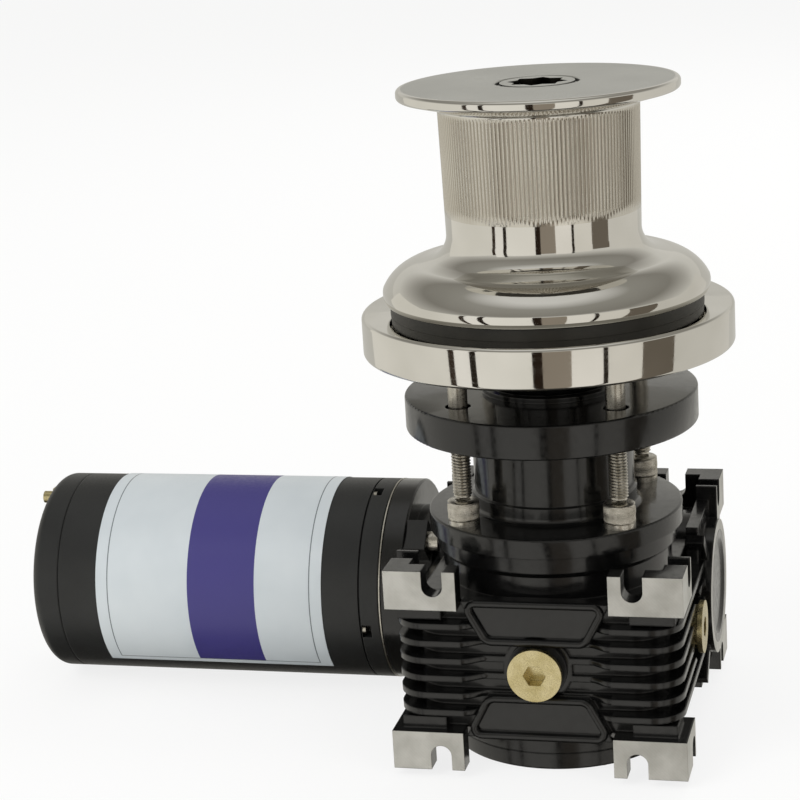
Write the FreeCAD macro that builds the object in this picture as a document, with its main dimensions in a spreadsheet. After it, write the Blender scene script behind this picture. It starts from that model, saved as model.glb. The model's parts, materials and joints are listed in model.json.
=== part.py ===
"""Deck capstan: a vertical warping drum on a deck plate, driven from below
through a worm gearbox by a permanent-magnet motor.

Frame: millimetres, +Z up along the drum's axis, z = 0 on the underside of the
deck plate, -Y at the gearbox's front feet, motor towards -X.
"""
import FreeCAD, Part
import math
import os
import re
import Sketcher
from FreeCAD import Placement, Rotation, Vector

document = FreeCAD.newDocument("deck_capstan")
sheet = document.addObject("Spreadsheet::Sheet", "Sizes")

# ---------------------------------------------------------------- sizes (mm, degrees)
SIZES = {
    # clearances
    "fit_gap": 0.05,                # between pieces seated in one another
    "run_gap": 0.05,                # radial gap of a running fit
    "face_gap": 0.3,                # axial gap beside a turning face
    # shaft line
    "shaft_rad": 12.5,
    "shaft_foot_drop": 40.0,        # shaft end below the gearbox's middle plane
    "key_width": 8.0,
    "key_height": 7.0,
    "key_sink": 4.0,
    # deck plate
    "plate_rad": 75.5,
    "plate_thick": 16.5,
    "plate_edge": 1.6,
    "bush_wall": 3.0,
    "bush_flange_rad": 19.0,
    "bush_flange_thick": 2.5,
    "seal_ring_rad": 63.5,
    "seal_ring_wall": 5.0,
    "seal_ring_high": 4.7,
    # drum
    "drum_top": 107.0,
    "drum_flange_rad": 56.5,
    "drum_rim": 4.1,
    "drum_edge": 1.6,
    "drum_flange_root": 98.8,
    "barrel_rad_top": 40.3,
    "barrel_rad_low": 39.4,
    "rib_top": 98.0,
    "rib_low": 58.2,
    "rib_depth": 0.45,
    "rib_count": 148,
    "plain_low": 49.7,
    "plain_fillet": 7.0,
    "bell_top_rad": 44.5,
    "bell_top_high": 43.6,
    "bell_shoulder_rad": 52.0,
    "bell_shoulder_high": 40.9,
    "bell_round": 22.0,
    "bell_tuck": 6.5,
    "bell_rad": 66.2,
    "bell_widest_high": 28.6,
    "bell_foot_rad": 65.2,
    "drum_wall": 5.5,
    "drum_hub_rad": 21.0,
    # cap
    "cap_rad": 16.2,
    "cap_thick": 17.0,
    "cap_groove": 1.2,
    "cap_stub_rad": 8.0,
    "cap_stub_long": 12.0,
    "star_width": 17.5,             # flat to flat of the handle's square drive
    "star_deep": 14.0,
    # studs below the deck plate
    "deck_gap": 18.0,               # the deck clamped between plate and riser
    "stud_rad": 4.0,
    "stud_circle_rad": 45.0,
    "stud_low": 56.0,
    "stud_sink": 11.0,
    "stud_root_rad": 4.25,
    "stud_hole_rad": 5.25,
    "fastener_turn": 45.0,          # degrees from +X to the first stud and screw
    # riser
    "riser_flange_rad": 60.0,
    "riser_flange_thick": 14.0,
    "riser_collar_rad": 28.0,
    "riser_collar_high": 3.0,
    "riser_bore_rad": 26.0,
    "riser_bore_deep": 25.0,
    "riser_tube_rad": 33.2,
    "riser_tube_long": 35.0,
    "riser_foot_rad": 52.5,
    "riser_foot_thick": 8.0,
    "riser_fillet": 2.5,
    "riser_step": 0.8,
    "riser_edge": 1.0,
    "riser_clear_rad": 22.0,
    "riser_spigot_rad": 36.0,
    "riser_spigot_high": 2.0,
    "cap_screw_rad": 4.0,
    "cap_screw_head_rad": 6.5,
    "cap_screw_head_high": 8.0,
    "cap_screw_long": 17.0,
    "cap_screw_circle_rad": 45.0,
    "cap_screw_hex": 6.0,
    "spring_washer_rad": 6.4,
    "spring_washer_thick": 2.0,
    # bearings: bore radius, outer radius and width of each size
    "riser_bearing_wide": 15.0,
    "wheel_bearing_bore": 20.0,
    "wheel_bearing_rad": 34.0,
    "wheel_bearing_wide": 12.0,
    "worm_bearing_rad": 21.0,
    "worm_bearing_bore": 12.5,
    "worm_bearing_wide": 12.0,
    "worm_bearing_out": 36.0,       # worm middle to each bearing's middle
    "wheel_bearing_out": 34.0,      # wheel middle to each bearing's middle
    "bearing_balls": 8,
    "motor_bearing_bore": 7.5,
    "motor_bearing_rad": 17.5,
    "motor_bearing_wide": 11.0,
    # gearbox housing
    "centre_distance": 50.0,        # wheel axis to worm axis
    "box_half": 60.0,               # drum axis to the front and side feet
    "box_rear": 84.0,               # drum axis to the rear of the worm barrel
    "face_half": 46.0,              # middle plane to each output face
    "foot_half": 42.5,              # middle plane to the ends of the feet
    "foot_high": 16.3,
    "foot_wide": 26.0,
    "foot_leg": 9.0,
    "foot_corner": 3.5,
    "foot_back": 4.0,
    "floor_thick": 6.0,
    "slot_half_width": 4.25,
    "slot_pitch_half": 40.0,
    "slot_deep": 10.5,
    "core_half_wide": 50.0,
    "core_half_high": 27.0,
    "core_front": 51.0,
    "core_rear": 62.0,
    "core_corner": 12.0,
    "boss_rad": 47.5,
    "neck_rad": 43.5,
    "neck_high": 5.0,
    "wheel_room_rad": 42.6,
    "fin_count": 6,
    "fin_pitch": 7.4,
    "fin_thick": 2.6,
    "fin_reach": 58.0,
    "fin_rear": 66.0,
    "fin_corner": 13.0,
    "fin_set_back": 5.0,
    "fin_gap_half": 30.0,
    "apron_top_half": 30.0,
    "apron_foot_half": 20.5,
    "apron_high": 17.7,
    "apron_level": 29.0,            # middle plane to the apron's wide end
    "apron_reach": 56.0,
    "apron_rim": 2.2,
    "apron_sink": 1.2,
    "worm_barrel_rad": 33.0,
    "worm_barrel_end": 52.0,
    "worm_ring_rad": 29.0,
    "worm_ring_face": 61.0,
    "worm_room_rad": 17.5,
    "end_cap_rad": 24.5,
    "end_cap_thick": 5.0,
    "end_cap_dish": 1.0,
    "end_wall_thick": 5.0,
    "end_wall_half": 36.0,
    "web_thick": 4.0,
    # gearbox cover and seals
    "cover_thick": 7.0,
    "cover_lip_rad": 25.0,
    "cover_screw_circle_rad": 44.7,
    "cover_screw_count": 6,
    "cover_screw_rad": 1.5,
    "cover_screw_head_rad": 2.2,
    "cover_screw_head_high": 2.5,
    "cover_screw_long": 12.0,
    "wheel_seal_wide": 4.0,
    "worm_seal_wide": 7.0,
    # oil plugs
    "plug_rad": 11.0,
    "plug_flange_thick": 2.2,
    "plug_collar_width": 17.0,
    "plug_collar_long": 4.0,
    "plug_seat": 53.0,              # drum axis to each plug's seat
    "plug_boss_rad": 14.0,
    "plug_thread_rad": 7.0,
    "plug_thread_long": 8.0,
    "plug_hex": 8.0,
    "plug_hex_deep": 6.0,
    "plug_washer_rad": 12.0,
    "plug_washer_thick": 1.5,
    # worm and wheel
    "gear_module": 2.5,
    "wheel_teeth": 30,
    "worm_pitch_rad": 12.5,
    "worm_half_long": 20.0,
    "worm_shaft_end": 50.0,         # worm middle to each end of its shaft
    "worm_bore_deep": 26.0,
    "pressure_angle": 20.0,
    "tooth_top_half": 0.5,
    "tooth_backlash": 0.5,
    "tooth_root_clear": 0.6,
    "wheel_half_wide": 11.0,
    "wheel_edge_rad": 41.6,
    "rim_root_rad": 29.0,
    "hub_journal_rad": 20.0,
    "hub_web_rad": 23.5,
    # motor
    "adapter_face": 70.0,           # drum axis to the adapter disc's gearbox side
    "bell_front": 80.5,             # to the joint of adapter and front bell
    "yoke_front": 90.0,
    "yoke_rear": 229.0,
    "motor_rear": 242.5,
    "motor_rad": 44.5,
    "joint_groove": 0.8,
    "rear_edge": 5.0,
    "yoke_wall": 5.0,
    "magnet_thick": 6.0,
    "magnet_half_long": 42.0,
    "magnet_span": 70.0,
    "magnet_count": 4,
    "air_gap": 1.2,
    "armature_middle": 152.0,
    "armature_half_long": 35.0,
    "winding_bulge": 9.0,
    "slot_in": 7.0,
    "slot_half": 1.6,
    "slot_count": 12,
    "holder_thick": 3.0,
    "commutator_rad": 14.0,
    "commutator_long": 16.0,
    "brush_wide": 8.0,
    "brush_long": 12.0,
    "motor_shaft_rad": 7.0,
    "rotor_shaft_rad": 9.0,
    "terminal_rad": 3.0,
    "terminal_tip_rad": 2.8,
    "terminal_circle_rad": 33.0,
    "terminal_proud": 12.0,
    "terminal_sleeve": 1.5,
    "terminal_nut_width": 10.0,
    "terminal_nut_high": 5.0,
    "label_front": 106.5,
    "label_rear": 211.0,
    "label_thick": 0.25,
    "label_low_angle": 44.0,        # degrees the label reaches below the front horizontal
    "label_span": 200.0,
    "lug_half_wide": 7.0,
    "lug_circle_rad": 37.5,
    "flange_screw_circle_rad": 25.0,
    "flange_screw_grip": 13.0,
    "small_screw_rad": 2.5,
    "small_screw_head_rad": 4.25,
    "small_screw_head_high": 4.5,
    "bell_screw_grip": 9.0,
    "bell_spigot": 5.0,
    "bell_lip": 2.0,
    "lug_gap": -1.0,                # lug seats behind the housing's side feet
    "notch_half": 3.0,
    "notch_deep": 5.0,
    "notch_wall": 0.8,
    "notch_long": 4.2,
    "notch_screw_rad": 1.5,
    "notch_screw_grip": 9.0,
    "motor_key_width": 5.0,
    "motor_key_top": 9.0,
    "motor_key_high": 5.0,
    "motor_key_long": 16.0,
}
for row, (alias, value) in enumerate(SIZES.items(), start=1):
    sheet.set(f"A{row}", alias.replace("_", " "))
    sheet.set(f"B{row}", str(value))
    sheet.setAlias(f"B{row}", alias)
document.recompute()

# places that follow from the sizes, each a formula of cells and earlier formulas
FORMULAS = {
    "riser_top": "-deck_gap",
    "riser_flange_low": "riser_top - riser_flange_thick",
    "riser_foot_top": "riser_flange_low - riser_tube_long",
    "riser_foot_low": "riser_foot_top - riser_foot_thick",
    "gear_plane": "riser_foot_low - face_half",
    "drum_low": "plate_thick + seal_ring_high + face_gap",
    "cover_low": "gear_plane - face_half",
    "bush_top": "plate_thick + bush_flange_thick",
    "wheel_pitch_rad": "gear_module * wheel_teeth / 2",
    "worm_tip_rad": "worm_pitch_rad + gear_module",
    "worm_root_rad": "worm_pitch_rad - gear_module - tooth_root_clear",
    "throat_rad": "worm_root_rad + tooth_root_clear",
    "throat_half": "sqrt(throat_rad * throat_rad - (centre_distance - wheel_edge_rad)"
                   " * (centre_distance - wheel_edge_rad))",
    "magnet_rad": "motor_rad - yoke_wall",
    "armature_rad": "magnet_rad - magnet_thick - air_gap",
}


def bind(text):
    """Give each name in a formula its cell, so that an expression can hold it."""
    def cell(match):
        name = match.group(0)
        if name in FORMULAS:
            return "(" + bind(FORMULAS[name]) + ")"
        return "Sizes." + name if name in SIZES else name
    return re.sub(r"[a-z_]+", cell, str(text))


def number(text):
    """The value of a formula now."""
    return float(sheet.evalExpression(bind(text)))


# ---------------------------------------------------------------- building helpers
def tie(thing, prop, formula):
    """Bind one property to a formula of the sheet."""
    thing.setExpression(prop, bind(formula))
    return thing


def place(thing, x="0", y="0", z="0", turn=None):
    """Bind a thing's place, and turn it by a fixed rotation first."""
    if turn is not None:
        thing.Placement = Placement(Vector(0, 0, 0), turn)
    for axis, formula in zip("xyz", (x, y, z)):
        if formula != "0":
            tie(thing, "Placement.Base." + axis, formula)
    return thing


def body(label):
    """An empty body; it may hold several solids, as a set of fasteners does."""
    new = document.addObject("PartDesign::Body", label)
    new.Label = label
    new.AllowCompound = True
    return new


def sketch(owner, plane, name="Sketch"):
    """A sketch on one of the body's own origin planes."""
    new = owner.newObject("Sketcher::SketchObject", name)
    base = [item for item in owner.Origin.OriginFeatures if item.Role == plane + "_Plane"][0]
    new.AttachmentSupport = [(base, "")]
    new.MapMode = "FlatFace"
    return new


def fix_point(drawing, edge, end, point):
    """Hold one end of an edge at a pair of formulas."""
    for kind, formula in zip(("DistanceX", "DistanceY"), point):
        held = Sketcher.Constraint(kind, -1, 1, edge, end, number(formula))
        index = drawing.addConstraint(held)
        drawing.setExpression(f"Constraints[{index}]", bind(formula))


def arc_between(start, end, radius, side):
    """A round edge of a radius that bows to one side of the line from start to end."""
    half = (end - start) * 0.5
    across = Vector(-half.y, half.x, 0).normalize()
    if side == "right":
        across = across.negative()
    bow = start + half + across * (radius - math.sqrt(radius * radius - half.Length ** 2))
    # sketches want every arc to run anticlockwise
    return Part.Arc(start, bow, end) if side == "right" else Part.Arc(end, bow, start)


def outline(drawing, points):
    """Draw a closed outline through pairs of formulas; a point that also gives a radius and
    a side starts a round edge that bows to that side."""
    spots = [Vector(number(point[0]), number(point[1]), 0) for point in points]
    first = len(drawing.Geometry)
    count = len(spots)
    ends = []
    for step, point in enumerate(points):
        start, end = spots[step], spots[(step + 1) % count]
        if len(point) == 2:
            drawing.addGeometry(Part.LineSegment(start, end))
            ends.append((1, 2))
            continue
        arc = arc_between(start, end, number(point[2]), point[3])
        edge = drawing.addGeometry(arc)
        placed = drawing.Geometry[edge]
        forward = (placed.StartPoint - start).Length < (placed.EndPoint - start).Length
        ends.append((1, 2) if forward else (2, 1))
    for step, point in enumerate(points):
        after = (step + 1) % count
        drawing.addConstraint(Sketcher.Constraint(
            "Coincident", first + step, ends[step][1], first + after, ends[after][0]))
        fix_point(drawing, first + step, ends[step][0], point[:2])
        if len(point) == 4:
            held = Sketcher.Constraint("Radius", first + step, number(point[2]))
            index = drawing.addConstraint(held)
            drawing.setExpression(f"Constraints[{index}]", bind(point[2]))


def hexagon(width):
    """The corners of a hexagon of a width across its flats, about the sketch's origin."""
    corners = []
    for step in range(6):
        angle = f"{60 * step} deg"
        corners.append((f"{width} / sqrt(3) * cos({angle})", f"{width} / sqrt(3) * sin({angle})"))
    return corners


def spun(owner, points, upright=True, groove=False, name="Turned"):
    """Turn an outline about Z (upright, radius and height) or about X (length and radius)."""
    drawing = sketch(owner, "XZ" if upright else "XY", name + "Sketch")
    outline(drawing, points)
    kind = "PartDesign::Groove" if groove else "PartDesign::Revolution"
    new = owner.newObject(kind, name)
    new.Profile = drawing
    new.ReferenceAxis = (drawing, ["V_Axis" if upright else "H_Axis"])
    new.Angle = 360
    drawing.Visibility = False
    return new


def turned(label, points, upright=True):
    """A piece turned on the drum's axis, or along X at the origin."""
    new = body(label)
    spun(new, points, upright)
    return new


def on_worm_axis(thing):
    """Move a piece turned about X on to the worm's and motor's axis."""
    return place(thing, y="centre_distance", z="gear_plane")


def cylinder(name, radius, height, x="0", y="0", z="0", turn=None):
    new = document.addObject("Part::Cylinder", name)
    tie(new, "Radius", radius)
    tie(new, "Height", height)
    return place(new, x, y, z, turn)


def box(name, low, high):
    """A block between two corners given as formulas."""
    new = document.addObject("Part::Box", name)
    for prop, start, end in zip(("Length", "Width", "Height"), low, high):
        tie(new, prop, f"({end}) - ({start})")
    return place(new, *low)


def cut(name, base, *tools):
    """Take tools from a base."""
    new = document.addObject("Part::Cut", name)
    new.Base = base
    new.Tool = tools[0] if len(tools) == 1 else fuse(name + "Tools", *tools)
    return new


def fuse(name, *shapes):
    new = document.addObject("Part::MultiFuse", name)
    new.Shapes = list(shapes)
    return new


def common(name, *shapes):
    new = document.addObject("Part::MultiCommon", name)
    new.Shapes = list(shapes)
    return new


def group(label, things):
    """Several separate solids in one node."""
    new = document.addObject("Part::Compound", label)
    new.Label = label
    new.Links = list(things)
    return new


def shaped(label, shape):
    """A piece whose form needs Part's own functions."""
    new = document.addObject("Part::Feature", label)
    new.Label = label
    new.Shape = shape
    return new


def ring_of(label, owner, count, upright=True):
    """Repeat a body's features round its Z axis, or its X axis."""
    pattern = owner.newObject("PartDesign::PolarPattern", label + "Ring")
    pattern.Originals = [item for item in owner.Group
                         if item.isDerivedFrom("PartDesign::Feature") and item is not pattern]
    role = "Z_Axis" if upright else "X_Axis"
    axis = [item for item in owner.Origin.OriginFeatures if item.Role == role][0]
    pattern.Axis = (axis, [""])
    pattern.Angle = 360
    pattern.Occurrences = count
    owner.Tip = pattern
    return owner


def off_axis_turned(owner, middle, points, name="Turned", groove=False):
    """Turn an outline about an upright line that stands off the body's Z axis."""
    drawing = sketch(owner, "XZ", name + "Sketch")
    outline(drawing, [(f"{middle} + {point[0]}", *point[1:]) for point in points])
    low = drawing.addGeometry(Part.LineSegment(Vector(number(middle), -1, 0),
                                               Vector(number(middle), 1, 0)), True)
    fix_point(drawing, low, 1, (middle, "-1"))
    fix_point(drawing, low, 2, (middle, "1"))
    new = owner.newObject("PartDesign::Groove" if groove else "PartDesign::Revolution", name)
    new.Profile = drawing
    new.ReferenceAxis = (drawing, ["Axis0"])
    new.Angle = 360
    return new


def prism(owner, plane, points, start, end, name="Block"):
    """Pad an outline from one distance to another along the plane's own normal."""
    drawing = sketch(owner, plane, name + "Sketch")
    tie(drawing, "AttachmentOffset.Base.z", start)
    outline(drawing, points)
    new = owner.newObject("PartDesign::Pad", name)
    new.Profile = drawing
    tie(new, "Length", f"({end}) - ({start})")
    return new


def hollow(owner, plane, points, start, deep, name="Hollow"):
    """Pocket an outline into a body, from a distance back towards the plane."""
    drawing = sketch(owner, plane, name + "Sketch")
    tie(drawing, "AttachmentOffset.Base.z", start)
    outline(drawing, points)
    new = owner.newObject("PartDesign::Pocket", name)
    new.Profile = drawing
    tie(new, "Length", deep)
    return new


UP_ROUND = Rotation(Vector(0, 0, 1), SIZES["fastener_turn"])
ALONG_X = Rotation(Vector(0, 1, 0), 90)
LUG_ANGLES = (45, -45, 180)         # degrees up from the motor's front horizontal
NOTCH_ANGLES = (-13, 77, 167, 257)
TERMINAL_ANGLES = (107, 152)
QUARTER_ANGLES = (0, 90, 180, 270)
ALONG_MINUS_Y = Rotation(Vector(1, 0, 0), 90)


def pegs(label, circle, angles, steps):
    """Round pins or holes along X round the worm axis. Each step has a radius, a start and
    an end; the angles run up from the front horizontal."""
    pins = []
    for index, angle in enumerate(angles):
        y = f"centre_distance - ({circle}) * cos({angle} deg)"
        z = f"gear_plane + ({circle}) * sin({angle} deg)"
        parts = [cylinder(f"{label}{index}Step{step}", radius, f"({end}) - ({start})",
                          start, y, z, ALONG_X)
                 for step, (radius, start, end) in enumerate(steps)]
        pins.append(fuse(f"{label}Pin{index}", *parts) if len(parts) > 1 else parts[0])
    return group(label, pins)


def spokes(label, angles, low, high):
    """Blocks round the worm axis, between two corners given along X, outwards and across."""
    blocks = []
    for index, angle in enumerate(angles):
        holder = group(f"{label}{index}", [box(f"{label}Block{index}", low, high)])
        blocks.append(on_worm_axis(place(holder, turn=Rotation(Vector(1, 0, 0), 180 - angle))))
    return blocks


def bearing(label, bore, rad, wide, places, turn=None):
    """Deep-groove ball bearings of one size: outer rings, inner rings and balls."""
    middle = f"(({bore} + {rad}) / 2)"
    ball = f"(0.3 * ({rad} - {bore}))"
    track = f"({ball} + run_gap)"
    shoulder = f"(0.6 * {ball})"
    groove = f"(sqrt({track} * {track} - {shoulder} * {shoulder}))"
    half = f"({wide} / 2)"
    outers, inners, balls = [], [], []
    for index, spot in enumerate(places):
        outer = body(f"{label}Outer{index}")
        spun(outer, [(f"{middle} + {shoulder}", f"-{half}"), (f"{rad}", f"-{half}"),
                     (f"{rad}", half), (f"{middle} + {shoulder}", half),
                     (f"{middle} + {shoulder}", groove, track, "left"),
                     (f"{middle} + {shoulder}", f"-{groove}")])
        inner = body(f"{label}Inner{index}")
        spun(inner, [(f"{bore}", f"-{half}"), (f"{middle} - {shoulder}", f"-{half}"),
                     (f"{middle} - {shoulder}", f"-{groove}", track, "left"),
                     (f"{middle} - {shoulder}", groove), (f"{middle} - {shoulder}", half),
                     (f"{bore}", half)])
        outers.append(place(outer, *spot, turn))
        inners.append(place(inner, *spot, turn))
        count = int(number("bearing_balls"))
        for step in range(count):
            sphere = document.addObject("Part::Sphere", f"{label}Ball")
            tie(sphere, "Radius", ball)
            angle = 360 * step / count
            along = (f"{middle} * cos({angle} deg)", f"{middle} * sin({angle} deg)")
            if turn is None:
                place(sphere, f"{spot[0]} + {along[0]}", f"{spot[1]} + {along[1]}", spot[2])
            else:
                place(sphere, spot[0], f"{spot[1]} + {along[0]}", f"{spot[2]} + {along[1]}")
            balls.append(sphere)
    group(f"{label}_outer_rings", outers)
    group(f"{label}_inner_rings", inners)
    group(f"{label}_balls", balls)


# ---------------------------------------------------------------- drum and deck plate
def rib_band():
    """The barrel's fine upright ribs: a ruled star-shaped ring that tapers with the barrel."""
    count = int(number("rib_count"))
    rise = (number("barrel_rad_top") - number("barrel_rad_low")) / (
        number("drum_flange_root") - number("plain_low"))
    wires = []
    for level in (number("rib_low"), number("rib_top")):
        crest = number("barrel_rad_low") + rise * (level - number("plain_low"))
        corners = []
        for step in range(2 * count):
            radius = crest - number("rib_depth") * (step % 2)
            angle = math.pi * step / count
            corners.append(Vector(radius * math.cos(angle), radius * math.sin(angle), level))
        wires.append(Part.makePolygon(corners + corners[:1]))
    star = Part.makeLoft(wires, True, True)
    core = Part.makeCylinder(number("barrel_rad_low - drum_wall / 2"), 1000, Vector(0, 0, -500))
    return star.cut(core)


def drum():
    """Warping drum: dished flange, ribbed barrel and a bell-shaped foot, hollow round its hub."""
    rib_rad = "barrel_rad_low - rib_depth - fit_gap"
    inner = "barrel_rad_low - drum_wall"
    roof = "drum_flange_root - drum_wall"
    casting = turned("DrumCasting", [
        ("shaft_rad + fit_gap", "bush_top + face_gap"),
        ("drum_hub_rad", "bush_top + face_gap"),
        ("drum_hub_rad", roof),
        (inner, roof),
        (inner, "plain_low - drum_wall"),
        ("bell_shoulder_rad", "bell_shoulder_high - drum_wall", "bell_round", "left"),
        ("bell_rad - drum_wall", "bell_widest_high"),
        ("bell_foot_rad - drum_wall", "drum_low"),
        ("bell_foot_rad", "drum_low", "bell_tuck", "right"),
        ("bell_rad", "bell_widest_high", "bell_round", "right"),
        ("bell_shoulder_rad", "bell_shoulder_high"),
        ("bell_top_rad", "bell_top_high", "plain_fillet", "left"),
        ("barrel_rad_low", "plain_low"),
        ("barrel_rad_low", "rib_low"),
        (rib_rad, "rib_low"),
        (rib_rad, "rib_top"),
        ("barrel_rad_top", "rib_top"),
        ("barrel_rad_top", "drum_flange_root"),
        ("drum_flange_rad - drum_edge", "drum_top - drum_rim", "drum_edge", "right"),
        ("drum_flange_rad", "drum_top - drum_rim + drum_edge"),
        ("drum_flange_rad", "drum_top - drum_edge", "drum_edge", "right"),
        ("drum_flange_rad - drum_edge", "drum_top"),
        ("cap_rad + fit_gap", "drum_top"),
        ("cap_rad + fit_gap", "drum_top - cap_thick"),
        ("shaft_rad + fit_gap", "drum_top - cap_thick"),
    ])
    ribs = shaped("DrumRibs", rib_band())
    blank = fuse("DrumBlank", casting, ribs)
    keyway = box("DrumKeyway",
                 ("0", "-key_width / 2 - fit_gap", "bush_top"),
                 ("shaft_rad + key_height - key_sink + fit_gap", "key_width / 2 + fit_gap",
                  "drum_top - cap_thick + face_gap"))
    new = cut("drum", blank, keyway)
    return new


def drum_cap():
    """Cap that clamps the drum, with an eight-pointed socket for a winch handle."""
    new = turned("CapBlank", [
        ("0", "drum_top - cap_thick - cap_stub_long"),
        ("cap_stub_rad", "drum_top - cap_thick - cap_stub_long"),
        ("cap_stub_rad", "drum_top - cap_thick"),
        ("cap_rad", "drum_top - cap_thick"),
        ("cap_rad", "drum_top - cap_groove"),
        ("cap_rad - cap_groove", "drum_top - cap_groove"),
        ("cap_rad - cap_groove", "drum_top"),
        ("0", "drum_top"),
    ])
    squares = []
    for name, angle in (("Square", 0), ("Diamond", 45)):
        half = "star_width / 2"
        block = box(f"Star{name}", (f"-{half}", f"-{half}", "drum_top - star_deep"),
                    (half, half, "drum_top + 1"))
        holder = document.addObject("Part::Compound", f"Star{name}Turn")
        holder.Links = [block]
        holder.Placement = Placement(Vector(0, 0, 0), Rotation(Vector(0, 0, 1), angle))
        squares.append(holder)
    return cut("drum_cap", new, *squares)


def deck_plate():
    """Polished base plate that the drum turns on, with blind holes for its studs."""
    hole = "shaft_rad + run_gap + bush_wall + fit_gap"
    blank = turned("PlateBlank", [
        (hole, "0"),
        ("plate_rad - plate_edge", "0", "plate_edge", "right"),
        ("plate_rad", "plate_edge"),
        ("plate_rad", "plate_thick - plate_edge", "plate_edge", "right"),
        ("plate_rad - plate_edge", "plate_thick"),
        (hole, "plate_thick"),
    ])
    holes = body("PlateHoles")
    off_axis_turned(holes, "stud_circle_rad", [
        ("0", "-1"), ("stud_root_rad + fit_gap", "-1"),
        ("stud_root_rad + fit_gap", "stud_sink + fit_gap"), ("0", "stud_sink + fit_gap")])
    ring_of("PlateHoles", holes, 4)
    return cut("deck_plate", blank, place(holes, turn=UP_ROUND))


def deck_pieces():
    """Bush, ring under the drum and the studs that clamp the deck."""
    turned("deck_bush", [
        ("shaft_rad + run_gap", "0"),
        ("shaft_rad + run_gap + bush_wall", "0"),
        ("shaft_rad + run_gap + bush_wall", "plate_thick"),
        ("bush_flange_rad", "plate_thick"),
        ("bush_flange_rad", "bush_top"),
        ("shaft_rad + run_gap", "bush_top"),
    ])
    turned("skirt_ring", [
        ("seal_ring_rad - seal_ring_wall", "plate_thick"),
        ("seal_ring_rad", "plate_thick"),
        ("seal_ring_rad", "plate_thick + seal_ring_high"),
        ("seal_ring_rad - seal_ring_wall", "plate_thick + seal_ring_high"),
    ])
    studs = body("deck_studs")
    off_axis_turned(studs, "stud_circle_rad", [
        ("0", "-stud_low"), ("stud_rad - stud_rad / 6", "-stud_low"),
        ("stud_rad", "-stud_low + stud_rad / 6"), ("stud_rad", "0"), ("stud_root_rad", "0"),
        ("stud_root_rad", "stud_sink"), ("0", "stud_sink")])
    place(ring_of("Studs", studs, 4), turn=UP_ROUND)


# ---------------------------------------------------------------- riser
def riser():
    """Spool casting that hangs the gearbox under the deck and holds the shaft's upper bearing."""
    blank = turned("RiserBlank", [
        ("riser_bore_rad + fit_gap", "riser_top - riser_bore_deep"),
        ("riser_bore_rad + fit_gap", "riser_top + riser_collar_high"),
        ("riser_collar_rad - riser_edge", "riser_top + riser_collar_high"),
        ("riser_collar_rad", "riser_top + riser_collar_high - riser_edge"),
        ("riser_collar_rad", "riser_top"),
        ("riser_flange_rad - riser_edge", "riser_top", "riser_edge", "left"),
        ("riser_flange_rad", "riser_top - riser_edge"),
        ("riser_flange_rad", "riser_flange_low + riser_edge", "riser_edge", "left"),
        ("riser_flange_rad - riser_edge", "riser_flange_low"),
        ("riser_tube_rad + riser_fillet", "riser_flange_low", "riser_fillet", "right"),
        ("riser_tube_rad", "riser_flange_low - riser_fillet"),
        ("riser_tube_rad", "riser_foot_top + 3 * riser_fillet"),
        ("riser_tube_rad + riser_step", "riser_foot_top + 3 * riser_fillet - riser_step"),
        ("riser_tube_rad + riser_step", "riser_foot_top + riser_fillet", "riser_fillet", "right"),
        ("riser_tube_rad + riser_step + riser_fillet", "riser_foot_top"),
        ("riser_foot_rad - riser_edge", "riser_foot_top", "riser_edge", "left"),
        ("riser_foot_rad", "riser_foot_top - riser_edge"),
        ("riser_foot_rad", "riser_foot_low"),
        ("riser_spigot_rad", "riser_foot_low"),
        ("riser_spigot_rad", "riser_foot_low - riser_spigot_high"),
        ("riser_clear_rad", "riser_foot_low - riser_spigot_high"),
        ("riser_clear_rad", "riser_top - riser_bore_deep"),
    ])
    holes = []
    for name, radius, circle, low, high in (
            ("RiserStudHoles", "stud_hole_rad", "stud_circle_rad",
             "riser_flange_low - 1", "riser_top + 1"),
            ("RiserScrewHoles", "cap_screw_rad + fit_gap", "cap_screw_circle_rad",
             "riser_foot_low - 1", "riser_foot_top + 1")):
        drill = body(name)
        off_axis_turned(drill, circle, [("0", low), (radius, low), (radius, high), ("0", high)])
        holes.append(place(ring_of(name, drill, 4), turn=UP_ROUND))
    return cut("riser_housing", blank, *holes)


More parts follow.
